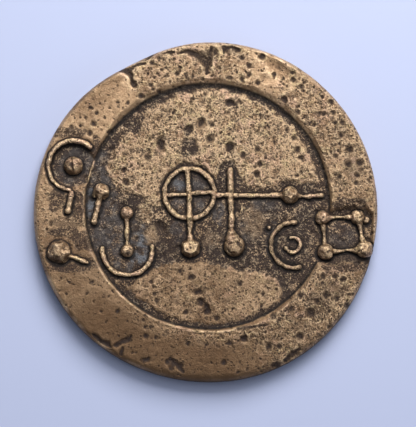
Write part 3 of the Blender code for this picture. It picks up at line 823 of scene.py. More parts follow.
# The wheel with its tail and ball, the staff, and the long bar that ties them together.
# The hoop was laid first, the upright and the long bar across it, and the balls were pressed on last.
HUB = (-0.099, 0.113)
WHEEL_RADIUS = 0.00364
WHEEL_WIRE = 0.00036
HOOP_STEPS = 160
HOOP_SWELL = 0.32
TAIL_BALL_PLACE = (-0.092, -0.205)
TAIL_BALL = 0.00142
UPRIGHT_WIRE = {
    0: 0.00052, 0.06: 0.00039, 0.3: 0.00038, 0.5: 0.00036, 0.55: 0.00044, 0.60: 0.00066, 0.67: 0.00046,
    0.74: 0.00032, 0.80: 0.00027, 0.85: 0.00036, 0.90: 0.00056, 1: 0.00080,
}
BAR_BALL_PLACE = (0.489, 0.104)
BAR_BALL = 0.00128
BAR_WITHIN = (
    (-0.238, 0.104), (-0.165, 0.104), (-0.104, 0.110), (-0.040, 0.118), (0.019, 0.120), (0.062, 0.103),
)
BAR_BEYOND = (
    (0.103, 0.107), (0.162, 0.103), (0.314, 0.102), (0.489, 0.104), (0.561, 0.098), (0.688, 0.101),
)
BAR_WIRE = {
    0: 0.00032, 0.05: 0.00026, 0.13: 0.00026, 0.18: 0.00031, 0.27: 0.00031, 0.31: 0.00038,
    0.36: 0.00035, 0.5: 0.00033, 0.66: 0.00033, 0.72: 0.00042, 0.78: 0.00070, 0.83: 0.00044,
    0.865: 0.00020, 0.885: 0.00030, 0.93: 0.00034, 1: 0.00034,
}
# The bar and the staff cross another wire, and lie so much higher
CROSSING_RISE = 0.00004
STAFF_TOP = (0.138, 0.266)
STAFF_BEND = (0.147, -0.130)
STAFF_BALL_PLACE = (0.164, -0.193)
STAFF_BALL = 0.00154
STAFF_WIRE = {
    0: 0.00040, 0.1: 0.00044, 0.3: 0.00045, 0.5: 0.00043, 0.8: 0.00044, 0.84: 0.00056, 0.89: 0.00090,
    1: 0.00120,
}

hoop = bmesh.new()
bmesh.ops.create_circle(hoop, segments=WIRE_SIDES, radius=WHEEL_WIRE)
for vertex in hoop.verts:
    across_section = squared(vertex.co.x / WHEEL_WIRE) * WHEEL_WIRE
    vertex.co = (WHEEL_RADIUS + across_section, 0.0, squared(vertex.co.y / WHEEL_WIRE) * WHEEL_WIRE)
bmesh.ops.spin(
    hoop, geom=hoop.verts[:] + hoop.edges[:], axis=(0, 0, 1), cent=(0, 0, 0), angle=2 * math.pi,
    steps=HOOP_STEPS, use_merge=True,
)
bmesh.ops.recalc_face_normals(hoop, faces=hoop.faces)
hoop_spots = np.array([vertex.co for vertex in hoop.verts])
hoop_bearings = np.degrees(np.arctan2(hoop_spots[:, 1], hoop_spots[:, 0]))
hoop_line = towards(hoop_bearings) * WHEEL_RADIUS
hoop_swell = 1 + HOOP_SWELL * lumps(hoop_line, WIRE_SWELL_SIZE, 27, 2)
hoop_waver = np.column_stack([lumps(hoop_line, WIRE_WAVE, seed, 2) for seed in (28, 29)]) * WIRE_WAVER
hoop_flat = at(*HUB) + hoop_line + (hoop_spots[:, :2] - hoop_line) * hoop_swell[:, None] + hoop_waver
hoop_height = FIELD_GROUND + WIRE_RISE * WHEEL_WIRE + hoop_spots[:, 2] * hoop_swell
for vertex, (x, y), z in zip(hoop.verts, hoop_flat, hoop_height):
    vertex.co = (x, y, z)
signs.append(hoop)

hub = at(*HUB)
upright = [hub + towards(95) * WHEEL_RADIUS, hub, hub + towards(271) * WHEEL_RADIUS, at(*TAIL_BALL_PLACE)]
long_bar = [at(*spot) for spot in BAR_WITHIN + BAR_BEYOND]
staff = [at(*STAFF_TOP), at(*STAFF_BEND), at(*STAFF_BALL_PLACE)]
signs.append(wax_wire(upright, UPRIGHT_WIRE, FIELD_GROUND))
signs.append(wax_wire(long_bar, BAR_WIRE, FIELD_GROUND + CROSSING_RISE))
signs.append(wax_wire(staff, STAFF_WIRE, FIELD_GROUND + CROSSING_RISE))
tail_shape = (
    (facet, 90, 78, 0.30), (facet, 0, 25, 0.10), (facet, 60, 25, 0.14), (facet, 120, 25, 0.14),
    (facet, 180, 25, 0.12), (facet, 240, 30, 0.16), (facet, 300, 30, 0.16), (cup, 70, 76, 0.34, 0.10),
    (cup, 90, 20, 0.30, 0.10),
)
bar_shape = (
    (facet, 315, 40, 0.18), (facet, 60, 45, 0.14), (cup, 140, 50, 0.40, -0.14), (facet, 230, 40, 0.14),
)
staff_shape = (
    (cup, 95, 56, 0.44, 0.16), (cup, 100, 62, 0.18, -0.16), (cup, 45, 50, 0.16, 0.16),
    (cup, 150, 48, 0.16, 0.14), (cup, 215, 40, 0.14, 0.16), (cup, 10, 40, 0.30, 0.08),
    (facet, 260, 35, 0.10),
)
signs.append(wax_ball(at(*TAIL_BALL_PLACE), TAIL_BALL, FIELD_GROUND, shaping=tail_shape))
signs.append(wax_ball(at(*BAR_BALL_PLACE), BAR_BALL, FIELD_GROUND, shaping=bar_shape))
signs.append(wax_ball(at(*STAFF_BALL_PLACE), STAFF_BALL, FIELD_GROUND, shaping=staff_shape))


# The two crescents right of the staff: a large one open to the right, round a small one with beads.
# The small one is the thinnest roll of all.
LARGE_CRESCENT = (0.512, -0.188)
LARGE_CRESCENT_RADIUS = 0.00336
LARGE_CRESCENT_ENDS = (81, 290)
LARGE_CRESCENT_WIRE = {
    0: 0.00036, 0.1: 0.00030, 0.25: 0.00034, 0.35: 0.00028, 0.5: 0.00034, 0.62: 0.00027, 0.75: 0.00031,
    0.93: 0.00032, 1: 0.00036,
}
SMALL_CRESCENT = (0.505, -0.187)
SMALL_CRESCENT_RADIUS = 0.00111
SMALL_CRESCENT_ENDS = (119, -156)
SMALL_CRESCENT_WIRE = {0: 0.00022, 0.2: 0.00025, 0.6: 0.00027, 0.9: 0.00023, 1: 0.00022}
BEAD = (0.366, -0.086)
BEAD_RADIUS = 0.00043
BEAD_DEPTH = 0.00016
END_BEAD = (0.466, -0.207)
END_BEAD_RADIUS = 0.00037
large_crescent = arc(LARGE_CRESCENT, LARGE_CRESCENT_RADIUS, LARGE_CRESCENT_ENDS)
signs.append(wax_wire(large_crescent, LARGE_CRESCENT_WIRE, FIELD_GROUND))
small_crescent = arc(SMALL_CRESCENT, SMALL_CRESCENT_RADIUS, SMALL_CRESCENT_ENDS)
signs.append(wax_wire(small_crescent, SMALL_CRESCENT_WIRE, FIELD_GROUND))
signs.append(wax_ball(at(*BEAD), BEAD_RADIUS, FIELD_GROUND - BEAD_DEPTH, 3))
signs.append(wax_ball(at(*END_BEAD), END_BEAD_RADIUS, FIELD_GROUND, 3))


# The square on the right of the rim: four balls joined by thin bars, in a hollow of its own.
# Each bar flares where it meets a ball, and a small knob sits beside the upper right ball.
SQUARE_BALLS = (
    (
        (0.678, -0.028),
        0.00106,
        ((facet, 120, 45, 0.14), (cup, 300, 60, 0.4, -0.08), (cup, 60, 50, 0.3, -0.10)),
    ),
    (
        (0.884, -0.025),
        0.00108,
        ((cup, 120, 62, 0.35, 0.12), (facet, 30, 40, 0.14), (facet, 250, 35, 0.12)),
    ),
    (
        (0.923, -0.213),
        0.00128,
        ((cup, 110, 70, 0.28, 0.14), (cup, 80, 85, 0.12, -0.10), (facet, 250, 40, 0.10)),
    ),
    (
        (0.696, -0.227),
        0.00118,
        ((facet, 200, 45, 0.14), (cup, 60, 60, 0.4, -0.08), (cup, 320, 35, 0.3, -0.16)),
    ),
)
SQUARE_BARS = (
    {0: 0.00080, 0.22: 0.00036, 0.34: 0.00020, 0.5: 0.00017, 0.66: 0.00020, 0.78: 0.00040, 1: 0.00080},
    {0: 0.00080, 0.28: 0.00034, 0.42: 0.00023, 0.58: 0.00023, 0.70: 0.00036, 1: 0.00090},
    {0: 0.00090, 0.24: 0.00040, 0.38: 0.00021, 0.6: 0.00019, 0.76: 0.00038, 1: 0.00085},
    {0: 0.00080, 0.26: 0.00036, 0.4: 0.00023, 0.58: 0.00022, 0.72: 0.00034, 1: 0.00080},
)
SQUARE_KNOB = (0.932, -0.042)
KNOB_RADIUS = 0.00056
KNOB_DEPTH = 0.00004
SQUARE_BAR_RISE = 0.00014
for (place_here, ball_radius, shaping), half_widths, neighbour in zip(
    SQUARE_BALLS, SQUARE_BARS, SQUARE_BALLS[1:] + SQUARE_BALLS[:1]
):
    bar = [at(*place_here), at(*neighbour[0])]
    signs.append(wax_wire(bar, half_widths, SQUARE_GROUND + SQUARE_BAR_RISE))
    signs.append(wax_ball(at(*place_here), ball_radius, SQUARE_GROUND, shaping=shaping))
knob_shape = ((cup, 90, 80, 0.4, 0.15),)
signs.append(wax_ball(at(*SQUARE_KNOB), KNOB_RADIUS, SQUARE_GROUND - KNOB_DEPTH, 3, knob_shape))


# The casting: disc and signs as the one piece of bronze that they are.
# The modelling tool left a narrow trench beside each wire and ball. After casting, the whole skin has
# the fine unevenness of the mould.
TRENCH_DEPTH = 0.00010
TRENCH_WIDTH = 0.00030
TRENCH_INSET = 0.00008
# The foot of a sign is the part of it that is lower than this over the rim
FOOT_TOP = 0.0003
SKIN_GRAIN = 0.000013
FINE_GRAIN = 0.00033
COARSE_GRAIN = 0.0011
SHORTEST_EDGE = 0.000001

footprint = []
for sign in signs:
    footprint += [vertex.co.copy() for vertex in sign.verts if vertex.co.z < RIM_TOP + FOOT_TOP]
foot_tree = kdtree.KDTree(len(footprint))
for index, spot in enumerate(footprint):
    foot_tree.insert((spot.x, spot.y, 0.0), index)
foot_tree.balance()
for vertex in face_verts:
    distance = foot_tree.find((vertex.co.x, vertex.co.y, 0.0))[2]
    vertex.co.z -= TRENCH_DEPTH * math.exp(-((max(distance - TRENCH_INSET, 0) / TRENCH_WIDTH) ** 2))

wax_signs = bpy.data.collections.new("wax_signs")
bpy.context.scene.collection.children.link(wax_signs)
for sign in signs:
    sheet = bpy.data.meshes.new("wax_sign")
    sign.to_mesh(sheet)
    wax_signs.objects.link(bpy.data.objects.new("wax_sign", sheet))
blank = bpy.data.meshes.new("medallion_casting")
disc.to_mesh(blank)
casting = bpy.data.objects.new("medallion_casting", blank)
bpy.context.scene.collection.objects.link(casting)
fusing = casting.modifiers.new("fused", "BOOLEAN")
fusing.operation = "UNION"
fusing.operand_type = "COLLECTION"
fusing.collection = wax_signs
fusing.solver = "MANIFOLD"
fused = bpy.data.meshes.new_from_object(casting.evaluated_get(bpy.context.evaluated_depsgraph_get()))
casting.modifiers.clear()
for helper in wax_signs.objects[:]:
    bpy.data.objects.remove(helper)
bpy.data.collections.remove(wax_signs)

skin = bmesh.new()
skin.from_mesh(fused)
bmesh.ops.triangulate(skin, faces=skin.faces)
bmesh.ops.dissolve_degenerate(skin, dist=SHORTEST_EDGE, edges=skin.edges)
bmesh.ops.triangulate(skin, faces=skin.faces)
spots = np.array([vertex.co for vertex in skin.verts])
normals = np.array([vertex.normal for vertex in skin.verts])
unevenness = SKIN_GRAIN * lumps(spots, FINE_GRAIN, 31, 2) + 2 * SKIN_GRAIN * lumps(spots, COARSE_GRAIN, 32)
spots = spots + normals * unevenness[:, None]
for vertex, spot in zip(skin.verts, spots):
    vertex.co = spot


# How handling and dirt have coloured it: dark in every hollow, rubbed bright on every height. Painted light
# and shade are mixed in: the upper side lighter, painted highlights on edges that face the light, and painted
# shade on sides and feet that turn away from it.
# The hollows and heights are read from the casting's own relief, at three widths.
RELIEF_CELLS = 560
RELIEF_SPAN = 0.0532
NEAR_WIDTH = 0.00022
MIDDLE_WIDTH = 0.00060
BROAD_WIDTH = 0.0017
SIGN_CAP = 0.00012
SIGN_WIDTH = 0.00030
# Between these heights the side turns into the face, and the ground into a sign
FACE_FROM = (0.0016, 0.0022)
SIGN_FROM = (0.00012, 0.00026)
# Between these depths below the relief round it, at each width, a place turns into a hollow
NEAR_HOLLOW = (0.00001, 0.00008)
MIDDLE_HOLLOW = (0.00001, 0.00018)
SIGN_CREASE = (-0.00004, 0.00008)
# Between these heights over the relief round it, at each width, a place starts to be rubbed
NEAR_CREST = (0.0, 0.00004)
MIDDLE_CREST = (0.0, 0.00010)
BROAD_CREST = (0.00010, 0.00060)
SIGN_CREST = (0.00004, 0.00022)
# The upright part of a normal, from a steep side to a level top
FACING_UP = (0.66, 0.985)
# From the top of the wall outwards to where the rim begins, and from above the middle down to the lower half
RIM_FROM = (0.0, 0.0004)
LOWER_HALF = (-0.001, -0.006)
# The heights between which the rolled edge gets painted shade in the lower half, where it faces away from
# the light, and those up to which dirt lies in the field
ROLL_SHADE = (RIM_TOP - 0.0002, RIM_TOP - 0.0011)
DIRT_TOP = (FIELD_GROUND + 0.00032, FIELD_GROUND + 0.00014)
# The blue-grey bloom: the middle of each patch, its half width and half height, its share
GREY_PATCHES = (
    (90, 202, 8, 16, 1.0), (140, 248, 13, 22, 1.0), (180, 184, 8, 8, 0.8), (198, 184, 8, 8, 0.7),
    (180, 203, 8, 8, 0.8), (198, 203, 8, 8, 0.8), (219, 212, 6, 14, 0.8), (178, 230, 7, 12, 0.6),
    (246, 228, 7, 14, 0.4), (342, 236, 16, 14, 0.35), (76, 166, 19, 18, 0.6), (262, 205, 16, 6, 0.5),
    (89.5, 200, 5, 13, 1.6), (138, 258, 9, 5, 1.6), (143, 244, 6, 12, 1.4), (180, 183, 8, 7, 1.3),
    (105, 200, 14, 30, 0.7), (113, 232, 22, 22, 0.7), (126, 262, 16, 9, 0.8), (99, 166, 10, 20, 0.6),
    (272, 240, 6, 18, 0.5),
)
# How much the face is rubbed, by bearing from its middle, with painted light: the upper side lighter and the
# lower side darker; and how bright the painted highlight on the lip round the field is
WEAR_AND_TOP_LIGHT = {
    0: 0.8, 40: 1.35, 60: 1.7, 100: 1.65, 130: 0.95, 160: 1.2, 200: 0.85, 222: 0.1, 270: 0.06,
    300: 0.45, 330: 0.8,
}
LIP_HIGHLIGHT = {
    0: 0.3, 45: 0.2, 120: 0.2, 150: 0.3, 175: 0.8, 200: 0.7, 225: 0.9, 270: 1.0, 320: 0.9, 345: 0.5,
}
BRIGHT_LIP_WIDTH = 0.00019
# The rim beside the lip is painted lighter along with the lip's highlight: how far outside the lip that is,
# and how wide
LIT_BESIDE_LIP_OUT = 0.0006
LIT_BESIDE_LIP_WIDTH = 0.0012
# A dark groove follows the inside of the large crescent
GROOVE_INSET = 0.00062
GROOVE_WIDTH = 0.00034
GROOVE_ENDS = (88, 275)
# Dirt and a painted shadow lie along the foot of each sign: how wide at least, how much wider on its lower
# side, where the shadow falls, and from where
MOAT_WIDTH = 0.00032
MOAT_SHADE = 0.00044
MOAT_INSET = 0.00010
# Pits and dark spots on the signs, in pixels with their radii; the spot at the top of the tail ball, under
# the upright's collar, is painted shadow
SIGN_PITS_AND_SHADE = (
    (188.1, 170.3, 1.0), (231.1, 191.6, 1.8), (231.1, 206.9, 1.3), (220.7, 195.5, 1.1),
    (200, 192.6, 0.9), (167.4, 196.5, 1.1), (230.8, 242.4, 2.0), (238.4, 244, 2.7), (235, 239.6, 1.5),
    (241, 247, 1.3), (228.8, 250.9, 1.3), (189.1, 238, 1.2), (293.4, 196.5, 1.1), (232.6, 232.1, 1.2),
    (189.6, 199.5, 0.8), (284.5, 190.6, 0.9), (322.9, 217.1, 1.5), (359.5, 217.1, 0.8),
    (364.6, 218.9, 1.6), (327.3, 252, 1.2), (323.8, 235.9, 1.0), (190.6, 247.6, 1.5),
    (187.2, 249.4, 1.2), (72, 165, 3.0), (85.5, 192, 2.0), (270.1, 228.6, 0.9), (92.5, 196.5, 1.6),
    (84.5, 186, 1.2), (128.5, 253, 3.0), (69, 262, 3.0),
)
# How bright the edge just inside the outline is, rubbed and with a painted highlight, by bearing, how far
# inside it is and how wide
EDGE_WEAR_AND_HIGHLIGHT = {
    0: 0.5, 20: 0.45, 60: 0.35, 100: 0.5, 135: 0.15, 165: 0.2, 185: 0.5, 200: 0.8, 222: 0.7, 238: 0.3,
    260: 0.05, 300: 0.1, 330: 0.35, 350: 0.6,
}
EDGE_INSET = 0.00042
EDGE_WIDTH = 0.00024
SCARP_BELOW = -0.004
SCARP_RIGHT_OF = 0.003
# Half the width in pixels of the black line at the foot of the wall, by bearing: dirt with painted shade,
# widest along the top, where the wall faces away from the light
FOOT_LINES = {0: 1.5, 45: 2.6, 90: 3.2, 135: 2.6, 180: 1.4, 225: 1.2, 270: 1.3, 315: 1.4}
# Dirt that has settled on the rim, most of it round the signs
GRIME_PATCHES = (
    (68, 133, 20, 6, 0.65), (97, 150, 6, 15, 0.95), (78, 206, 7, 16, 0.95), (57, 200, 9, 12, 0.75),
    (84, 240, 11, 10, 0.75), (64, 232, 18, 5, 0.75), (68, 268, 21, 5, 0.85), (86, 264, 12, 7, 0.85),
    (91, 222, 6, 30, 0.6), (68, 222, 20, 6, 0.45), (350, 204, 17, 7, 0.8), (345, 267, 24, 4, 0.9),
    (206, 58, 8, 10, 0.5), (231, 50, 9, 5, 0.4), (300, 352, 10, 8, 0.3), (333, 290, 18, 10, 0.35),
    (318, 305, 14, 14, 0.4), (302, 330, 12, 12, 0.3), (352, 165, 10, 14, 0.35), (340, 130, 8, 12, 0.3),
)


def plain_height(places):
    """The height of the disc without its skin and signs, which hollows and heights are told apart by."""
    reach, bearings = reach_from(MIDDLE, places)
    past = np.clip(1 - (outline_radius(bearings) - reach) / round_the_disc(ROLL_WIDTHS, bearings), 0, 0.995)
    wall = wall_share_at(places)
    across, down = pixels(places)
    in_hook, in_square = in_hollows(across, down, torn(places))
    ground = FIELD_GROUND * (1 - wall) + RIM_TOP * wall
    ground = ground * (1 - in_hook) + HOOK_GROUND * in_hook
    ground = ground * (1 - in_square) + SQUARE_GROUND * in_square
    return ground - ROLL_DROP * (1 - np.sqrt(1 - past**2))


relief_tree = BVHTree.FromBMesh(skin)
rows = (np.arange(RELIEF_CELLS) + 0.5) / RELIEF_CELLS * RELIEF_SPAN - RELIEF_SPAN / 2
grid_x, grid_y = np.meshgrid(rows, rows)
relief_places = np.column_stack((grid_x.ravel(), grid_y.ravel()))
relief = np.zeros(len(relief_places))
covered = np.zeros(len(relief_places))
straight_down = Vector((0, 0, -1))
for index, (x, y) in enumerate(relief_places):
    hit = relief_tree.ray_cast((x, y, 0.01), straight_down)[0]
    if hit is not None:
        relief[index] = hit.z
        covered[index] = 1
relief = (relief - plain_height(relief_places)) * covered
relief = relief.reshape(grid_x.shape)
covered = covered.reshape(grid_x.shape)


def blurred(values, width):
    """A picture softened over that width."""
    waves_y = np.fft.fftfreq(RELIEF_CELLS)[:, None]
    waves_x = np.fft.rfftfreq(RELIEF_CELLS)[None, :]
    cells = width / RELIEF_SPAN * RELIEF_CELLS
    fade = np.exp(-2 * (math.pi * cells) ** 2 * (waves_x**2 + waves_y**2))
    return np.fft.irfft2(np.fft.rfft2(values) * fade, s=values.shape)


def read_at(picture, places):
    """The picture's values at places of the face."""
    cells = (places + RELIEF_SPAN / 2) / RELIEF_SPAN * RELIEF_CELLS - 0.5
    low = np.clip(np.floor(cells).astype(int), 0, RELIEF_CELLS - 2)
    share = np.clip(cells - low, 0, 1)
    x, y = low[:, 0], low[:, 1]
    lower = picture[y, x] * (1 - share[:, 0]) + picture[y, x + 1] * share[:, 0]
    upper = picture[y + 1, x] * (1 - share[:, 0]) + picture[y + 1, x + 1] * share[:, 0]
    return lower * (1 - share[:, 1]) + upper * share[:, 1]


flat_spots = spots[:, :2]
stands = spots[:, 2] - plain_height(flat_spots)
low_relief = np.minimum(relief, SIGN_CAP * covered)


def depth_below(picture, width):
    """How far each vertex lies below the relief round it."""
    level = blurred(picture, width) / np.maximum(blurred(covered, width), 0.05)
    return read_at(level, flat_spots) - stands


near_below = depth_below(low_relief, NEAR_WIDTH)
middle_below = depth_below(low_relief, MIDDLE_WIDTH)
broad_below = depth_below(relief, BROAD_WIDTH)
sign_level = depth_below(relief, SIGN_WIDTH)
on_face = smooth_step(*FACE_FROM, spots[:, 2])
hollow = smooth_step(*NEAR_HOLLOW, near_below) * 0.5 + smooth_step(*MIDDLE_HOLLOW, middle_below) * 0.6
clear_of_ground = spots[:, 2] - np.maximum(FIELD_GROUND, plain_height(flat_spots))
on_sign = smooth_step(*SIGN_FROM, clear_of_ground)
hollow = np.clip(hollow, 0, 1) * on_face * (1 - 0.8 * on_sign)
worn_and_lit = smooth_step(*MIDDLE_CREST, -middle_below) * 0.5 + smooth_step(*BROAD_CREST, -broad_below) * 0.5
worn_and_lit = worn_and_lit + smooth_step(*NEAR_CREST, -near_below) * 0.3
nearest_face = [tree.find((x, y, 0.0))[1] for x, y in flat_spots]
edge_reach, edge_bearing = reach_from(FIELD_MIDDLE, flat_spots)
past_foot = edge_reach - field_edge_radius(edge_bearing)
past_top = past_foot - wall_width(edge_bearing)
# Rubbing by bearing, with painted light: the upper side lighter and the lower side darker
wear_and_top_light = round_the_disc(WEAR_AND_TOP_LIGHT, reach_from(MIDDLE, flat_spots)[1])
facing_up = smooth_step(*FACING_UP, normals[:, 2])
crested = smooth_step(*SIGN_CREST, -sign_level)
creased = smooth_step(*SIGN_CREASE, sign_level) * on_sign
on_rim = smooth_step(*RIM_FROM, past_top)
low_down = smooth_step(*LOWER_HALF, flat_spots[:, 1])
# Tarnish, with painted shade: darker towards the bottom by bearing and in the lower half of the field, and
# painted shade on the steep sides of the signs
tarnish_and_shade = np.clip(1.15 - wear_and_top_light, 0, 1) * (on_rim + (1 - on_rim) * (0.25 + 0.45 * low_down)) * (1 - on_sign)
tarnish_and_shade = (tarnish_and_shade + on_sign * (1 - facing_up)) * on_face + 0.7 * (1 - on_face)
# Painted shade on the rolled edge in the lower half, which faces away from the light
painted_roll_shade = smooth_step(*ROLL_SHADE, spots[:, 2]) * on_rim * low_down
# The hollow value carries that painted shade too, besides the patina in the hollows and creases
hollow = np.maximum(np.maximum(hollow, 0.85 * painted_roll_shade), 0.75 * creased)
# Painted highlight on the lip round the field, strongest low down, where the lip faces the light
lip = round_the_disc(LIP_HIGHLIGHT, edge_bearing) * bell(past_top + LIP_INSET, BRIGHT_LIP_WIDTH)
lip = lip * np.clip(0.75 + 0.9 * lumps(flat_spots, SKIN_LUMP, 34, 2), 0.1, 1)
middle_reach, middle_bearing = reach_from(MIDDLE, flat_spots)
inset = outline_radius(middle_bearing) - middle_reach
# The edge just inside the outline: rubbed, with a painted highlight where its rounding catches the light
arris = round_the_disc(EDGE_WEAR_AND_HIGHLIGHT, middle_bearing) * bell(inset - EDGE_INSET, EDGE_WIDTH)
arris = arris * np.clip(0.7 + 1.1 * lumps(flat_spots, 0.0022, 36, 3), 0, 1.3)
# Painted light: the rim beside the lip, and the outline's edge, get less tarnish where their highlights are
beside_lip = bell(past_top - LIT_BESIDE_LIP_OUT, LIT_BESIDE_LIP_WIDTH) * round_the_disc(LIP_HIGHLIGHT, edge_bearing) * on_rim
tarnish_and_shade = tarnish_and_shade * (1 - 0.55 * beside_lip) * (1 - np.clip(arris, 0, 1))
# The lower patch is rubbed bright along its edge on the right
scarp = bell(patch[nearest_face] - 0.82, 0.16)
scarp = scarp * (spots[:, 1] < SCARP_BELOW) * (spots[:, 0] > SCARP_RIGHT_OF)
scarp = scarp * (1 - wall_share[nearest_face])
lip = np.maximum(np.maximum(lip, arris), 0.55 * scarp)
# The tops of the signs: rubbed where they stand highest, with a painted highlight where they face straight up
on_top = (0.30 * facing_up + 0.66 * crested) * on_sign
worn_and_lit = np.clip(worn_and_lit, 0, 1) * wear_and_top_light * (1 - on_sign)
# The worn value holds the rubbing and the painted highlights on the lip, the outline's edge and the sign tops
worn_and_lit = np.clip(np.maximum(np.maximum(worn_and_lit, lip), on_top), 0, 1) * on_face
# Dirt and painted shade in the corner at the foot of the wall
foot_line = bell(past_foot, PIXEL * round_the_disc(FOOT_LINES, edge_bearing))
found = [foot_tree.find((x, y, 0.0)) for x, y in flat_spots]
to_sign = np.array([distance for _, _, distance in found])
# Which side of its sign each place lies on: places below a sign get its painted shadow
shaded = np.array([nearest.y for nearest, _, _ in found]) - flat_spots[:, 1]
shaded = smooth_step(-0.7, 0.7, shaded / np.maximum(to_sign, 0.00005))
shaded = shaded + 0.5 * lumps(flat_spots, 0.0011, 35, 2)
# Dirt round the foot of each sign, with painted shadow widest and darkest on its lower side
dirt_and_shadow_ring = smooth_step(MOAT_WIDTH + MOAT_SHADE * shaded, MOAT_INSET, to_sign) * (1 - on_sign)
dirt_and_shadow_ring = dirt_and_shadow_ring * np.clip(0.45 + 0.7 * shaded, 0, 1)
crescent_reach, crescent_bearing = reach_from(at(*LARGE_CRESCENT), flat_spots)
in_groove = (crescent_bearing > GROOVE_ENDS[0]) * (crescent_bearing < GROOVE_ENDS[1]) * (1 - on_sign)
groove = bell(crescent_reach - LARGE_CRESCENT_RADIUS + GROOVE_INSET, GROOVE_WIDTH) * in_groove
dirt_and_shadow_ring = np.maximum(dirt_and_shadow_ring, 0.8 * groove)
# The black lines: dirt and painted shade at the foot of the wall, dirt and painted shadow round the signs
outline = np.maximum(foot_line * (1 - np.maximum(in_hook, in_square)[nearest_face]), dirt_and_shadow_ring) * on_face
# The scraped ground and the hollows, where the dirt was left lying
low_ground = ((1 - patch) * np.clip(1 - wall_share * 1.6, 0, 1))[nearest_face]
low_ground = np.maximum(low_ground, np.maximum(in_hook, in_square)[nearest_face])
low_ground = low_ground * smooth_step(*DIRT_TOP, spots[:, 2]) * on_face
spot_across, spot_down = pixels(flat_spots)
uneven = lumps(flat_spots, SKIN_LUMP, 33, 3)
grey = in_ellipses(GREY_PATCHES, spot_across, spot_down, 0.3 * uneven) * low_ground
grime = in_ellipses(GRIME_PATCHES, spot_across, spot_down, 0.35 * uneven) * (1 - on_sign) * on_face
grit = np.maximum(roughness[nearest_face], 0.5 * on_sign) * on_face + 0.35 * (1 - on_face)
pits = np.clip(pitted, 0, 1.5)[nearest_face] * (1 - on_sign) * on_face
# Pits on the signs, and a painted shadow under the tail ball's collar
for spot_x, spot_y, spot_radius in SIGN_PITS_AND_SHADE:
    reach = np.hypot(spot_across - spot_x, spot_down - spot_y) / spot_radius
    pits = np.maximum(pits, (1.5 - reach) * on_sign)

skin.to_mesh(blank)
finish = {
    "hollow": hollow, "worn_and_lit": worn_and_lit, "low_ground": low_ground, "grey": grey, "grime": grime, "grit": grit,
    "pits": pits, "outline": outline, "tarnish_and_shade": tarnish_and_shade, "sign": on_sign,
}
for name, values in finish.items():
    stored = blank.attributes.new(name, "FLOAT", "POINT")
    stored.data.foreach_set("value", values.astype(np.float32))
blank.shade_smooth()


# The bronze itself.
# It is golden brown where hands have rubbed it and where highlights are painted, darker in the hollows and
# where shade is painted, and nearly black with a faint blue-grey bloom in the lowest places. Its surface is
# dull, with a soft gleam on the heights.
BRIGHT_BRONZE = (0.76, 0.545, 0.345, 1)
YELLOW_BRONZE = (0.75, 0.565, 0.325, 1)
PINK_BRONZE = (0.78, 0.525, 0.36, 1)
MID_BRONZE = (0.48, 0.315, 0.185, 1)
BROWN_BRONZE = (0.25, 0.152, 0.085, 1)
TARNISH_AND_SHADE = (0.145, 0.084, 0.045, 1)
GROUND_DUST = (0.27, 0.213, 0.155, 1)
DARK_PATINA = (0.030, 0.019, 0.017, 1)
BLUE_BLOOM = (0.180, 0.188, 0.205, 1)
BLACK_DIRT_AND_SHADE = (0.012, 0.010, 0.010, 1)
GREY_BLOOM = (0.145, 0.143, 0.146, 1)

# The sizes in metres of the mottles of each kind
BROAD_MOTTLES = 0.0045
MIDDLE_MOTTLES = 0.0012
PATCHY_MOTTLES = 0.0021
SPONGE_MOTTLES = 0.00078
GRAIN_MOTTLES = 0.00024
# Three kinds of pinholes: their spacing, and their inner and outer radius as a share of it
PINHOLES = ((0.00044, 0.20, 0.40), (0.00070, 0.16, 0.30), (0.00125, 0.10, 0.24))
# The pinholes are bent out of round by noise of that size
PINHOLE_BEND = 0.0005
# The bare bronze, how much smoother it is where it is rubbed and on the signs, and how dirt dulls it
BARE_METALLIC = 0.80
COVERED_METALLIC = -0.60
BARE_ROUGHNESS = 0.52
RUBBED_GLEAM = -0.10
SIGN_GLEAM = -0.13
COVERED_DULLNESS = 0.16
SPECULAR = 0.2
BUMP_DEPTH = 0.00021

bronze = bpy.data.materials.new("old_cast_bronze")
bronze.use_nodes = True
nodes = bronze.node_tree.nodes
links = bronze.node_tree.links
shader = nodes["Principled BSDF"]
object_place = nodes.new("ShaderNodeTexCoord").outputs["Object"]


def stored_value(name):
    """A value that is stored on the casting's vertices."""
    reader = nodes.new("ShaderNodeAttribute")
    reader.attribute_name = name
    return reader.outputs["Fac"]


def mottling(size, detail=3.0, rough=0.55):
    """Soft noise from 0 to 1 whose spots have that size in metres."""
    texture = nodes.new("ShaderNodeTexNoise")
    texture.inputs["Scale"].default_value = 1 / size
    texture.inputs["Detail"].default_value = detail
    texture.inputs["Roughness"].default_value = rough
    links.new(object_place, texture.inputs["Vector"])
    return texture.outputs["Fac"]


def plug(source, socket):
    """Sets a socket to a number or a colour, or links it to another node."""
    if isinstance(source, bpy.types.NodeSocket):
        links.new(source, socket)
    else:
        socket.default_value = source


def reckon(operation, first, second=0.0, third=0.0, clamp=False):
    """The result of one sum."""
    sum_node = nodes.new("ShaderNodeMath")
    sum_node.operation = operation
    sum_node.use_clamp = clamp
    for socket, source in zip(sum_node.inputs, (first, second, third)):
        plug(source, socket)
    return sum_node.outputs["Value"]


def ramp(value, low, high):
    """0 below low and 1 above high, smooth between."""
    spread = nodes.new("ShaderNodeMapRange")
    spread.interpolation_type = "SMOOTHSTEP"
    plug(value, spread.inputs["Value"])
    spread.inputs["From Min"].default_value = low
    spread.inputs["From Max"].default_value = high
    return spread.outputs["Result"]


def tint(share, first, second):
    """A colour between two others."""
    mix = nodes.new("ShaderNodeMix")
    mix.data_type = "RGBA"
    plug(share, mix.inputs["Factor"])
    plug(first, mix.inputs["A"])
    plug(second, mix.inputs["B"])
    return mix.outputs["Result"]


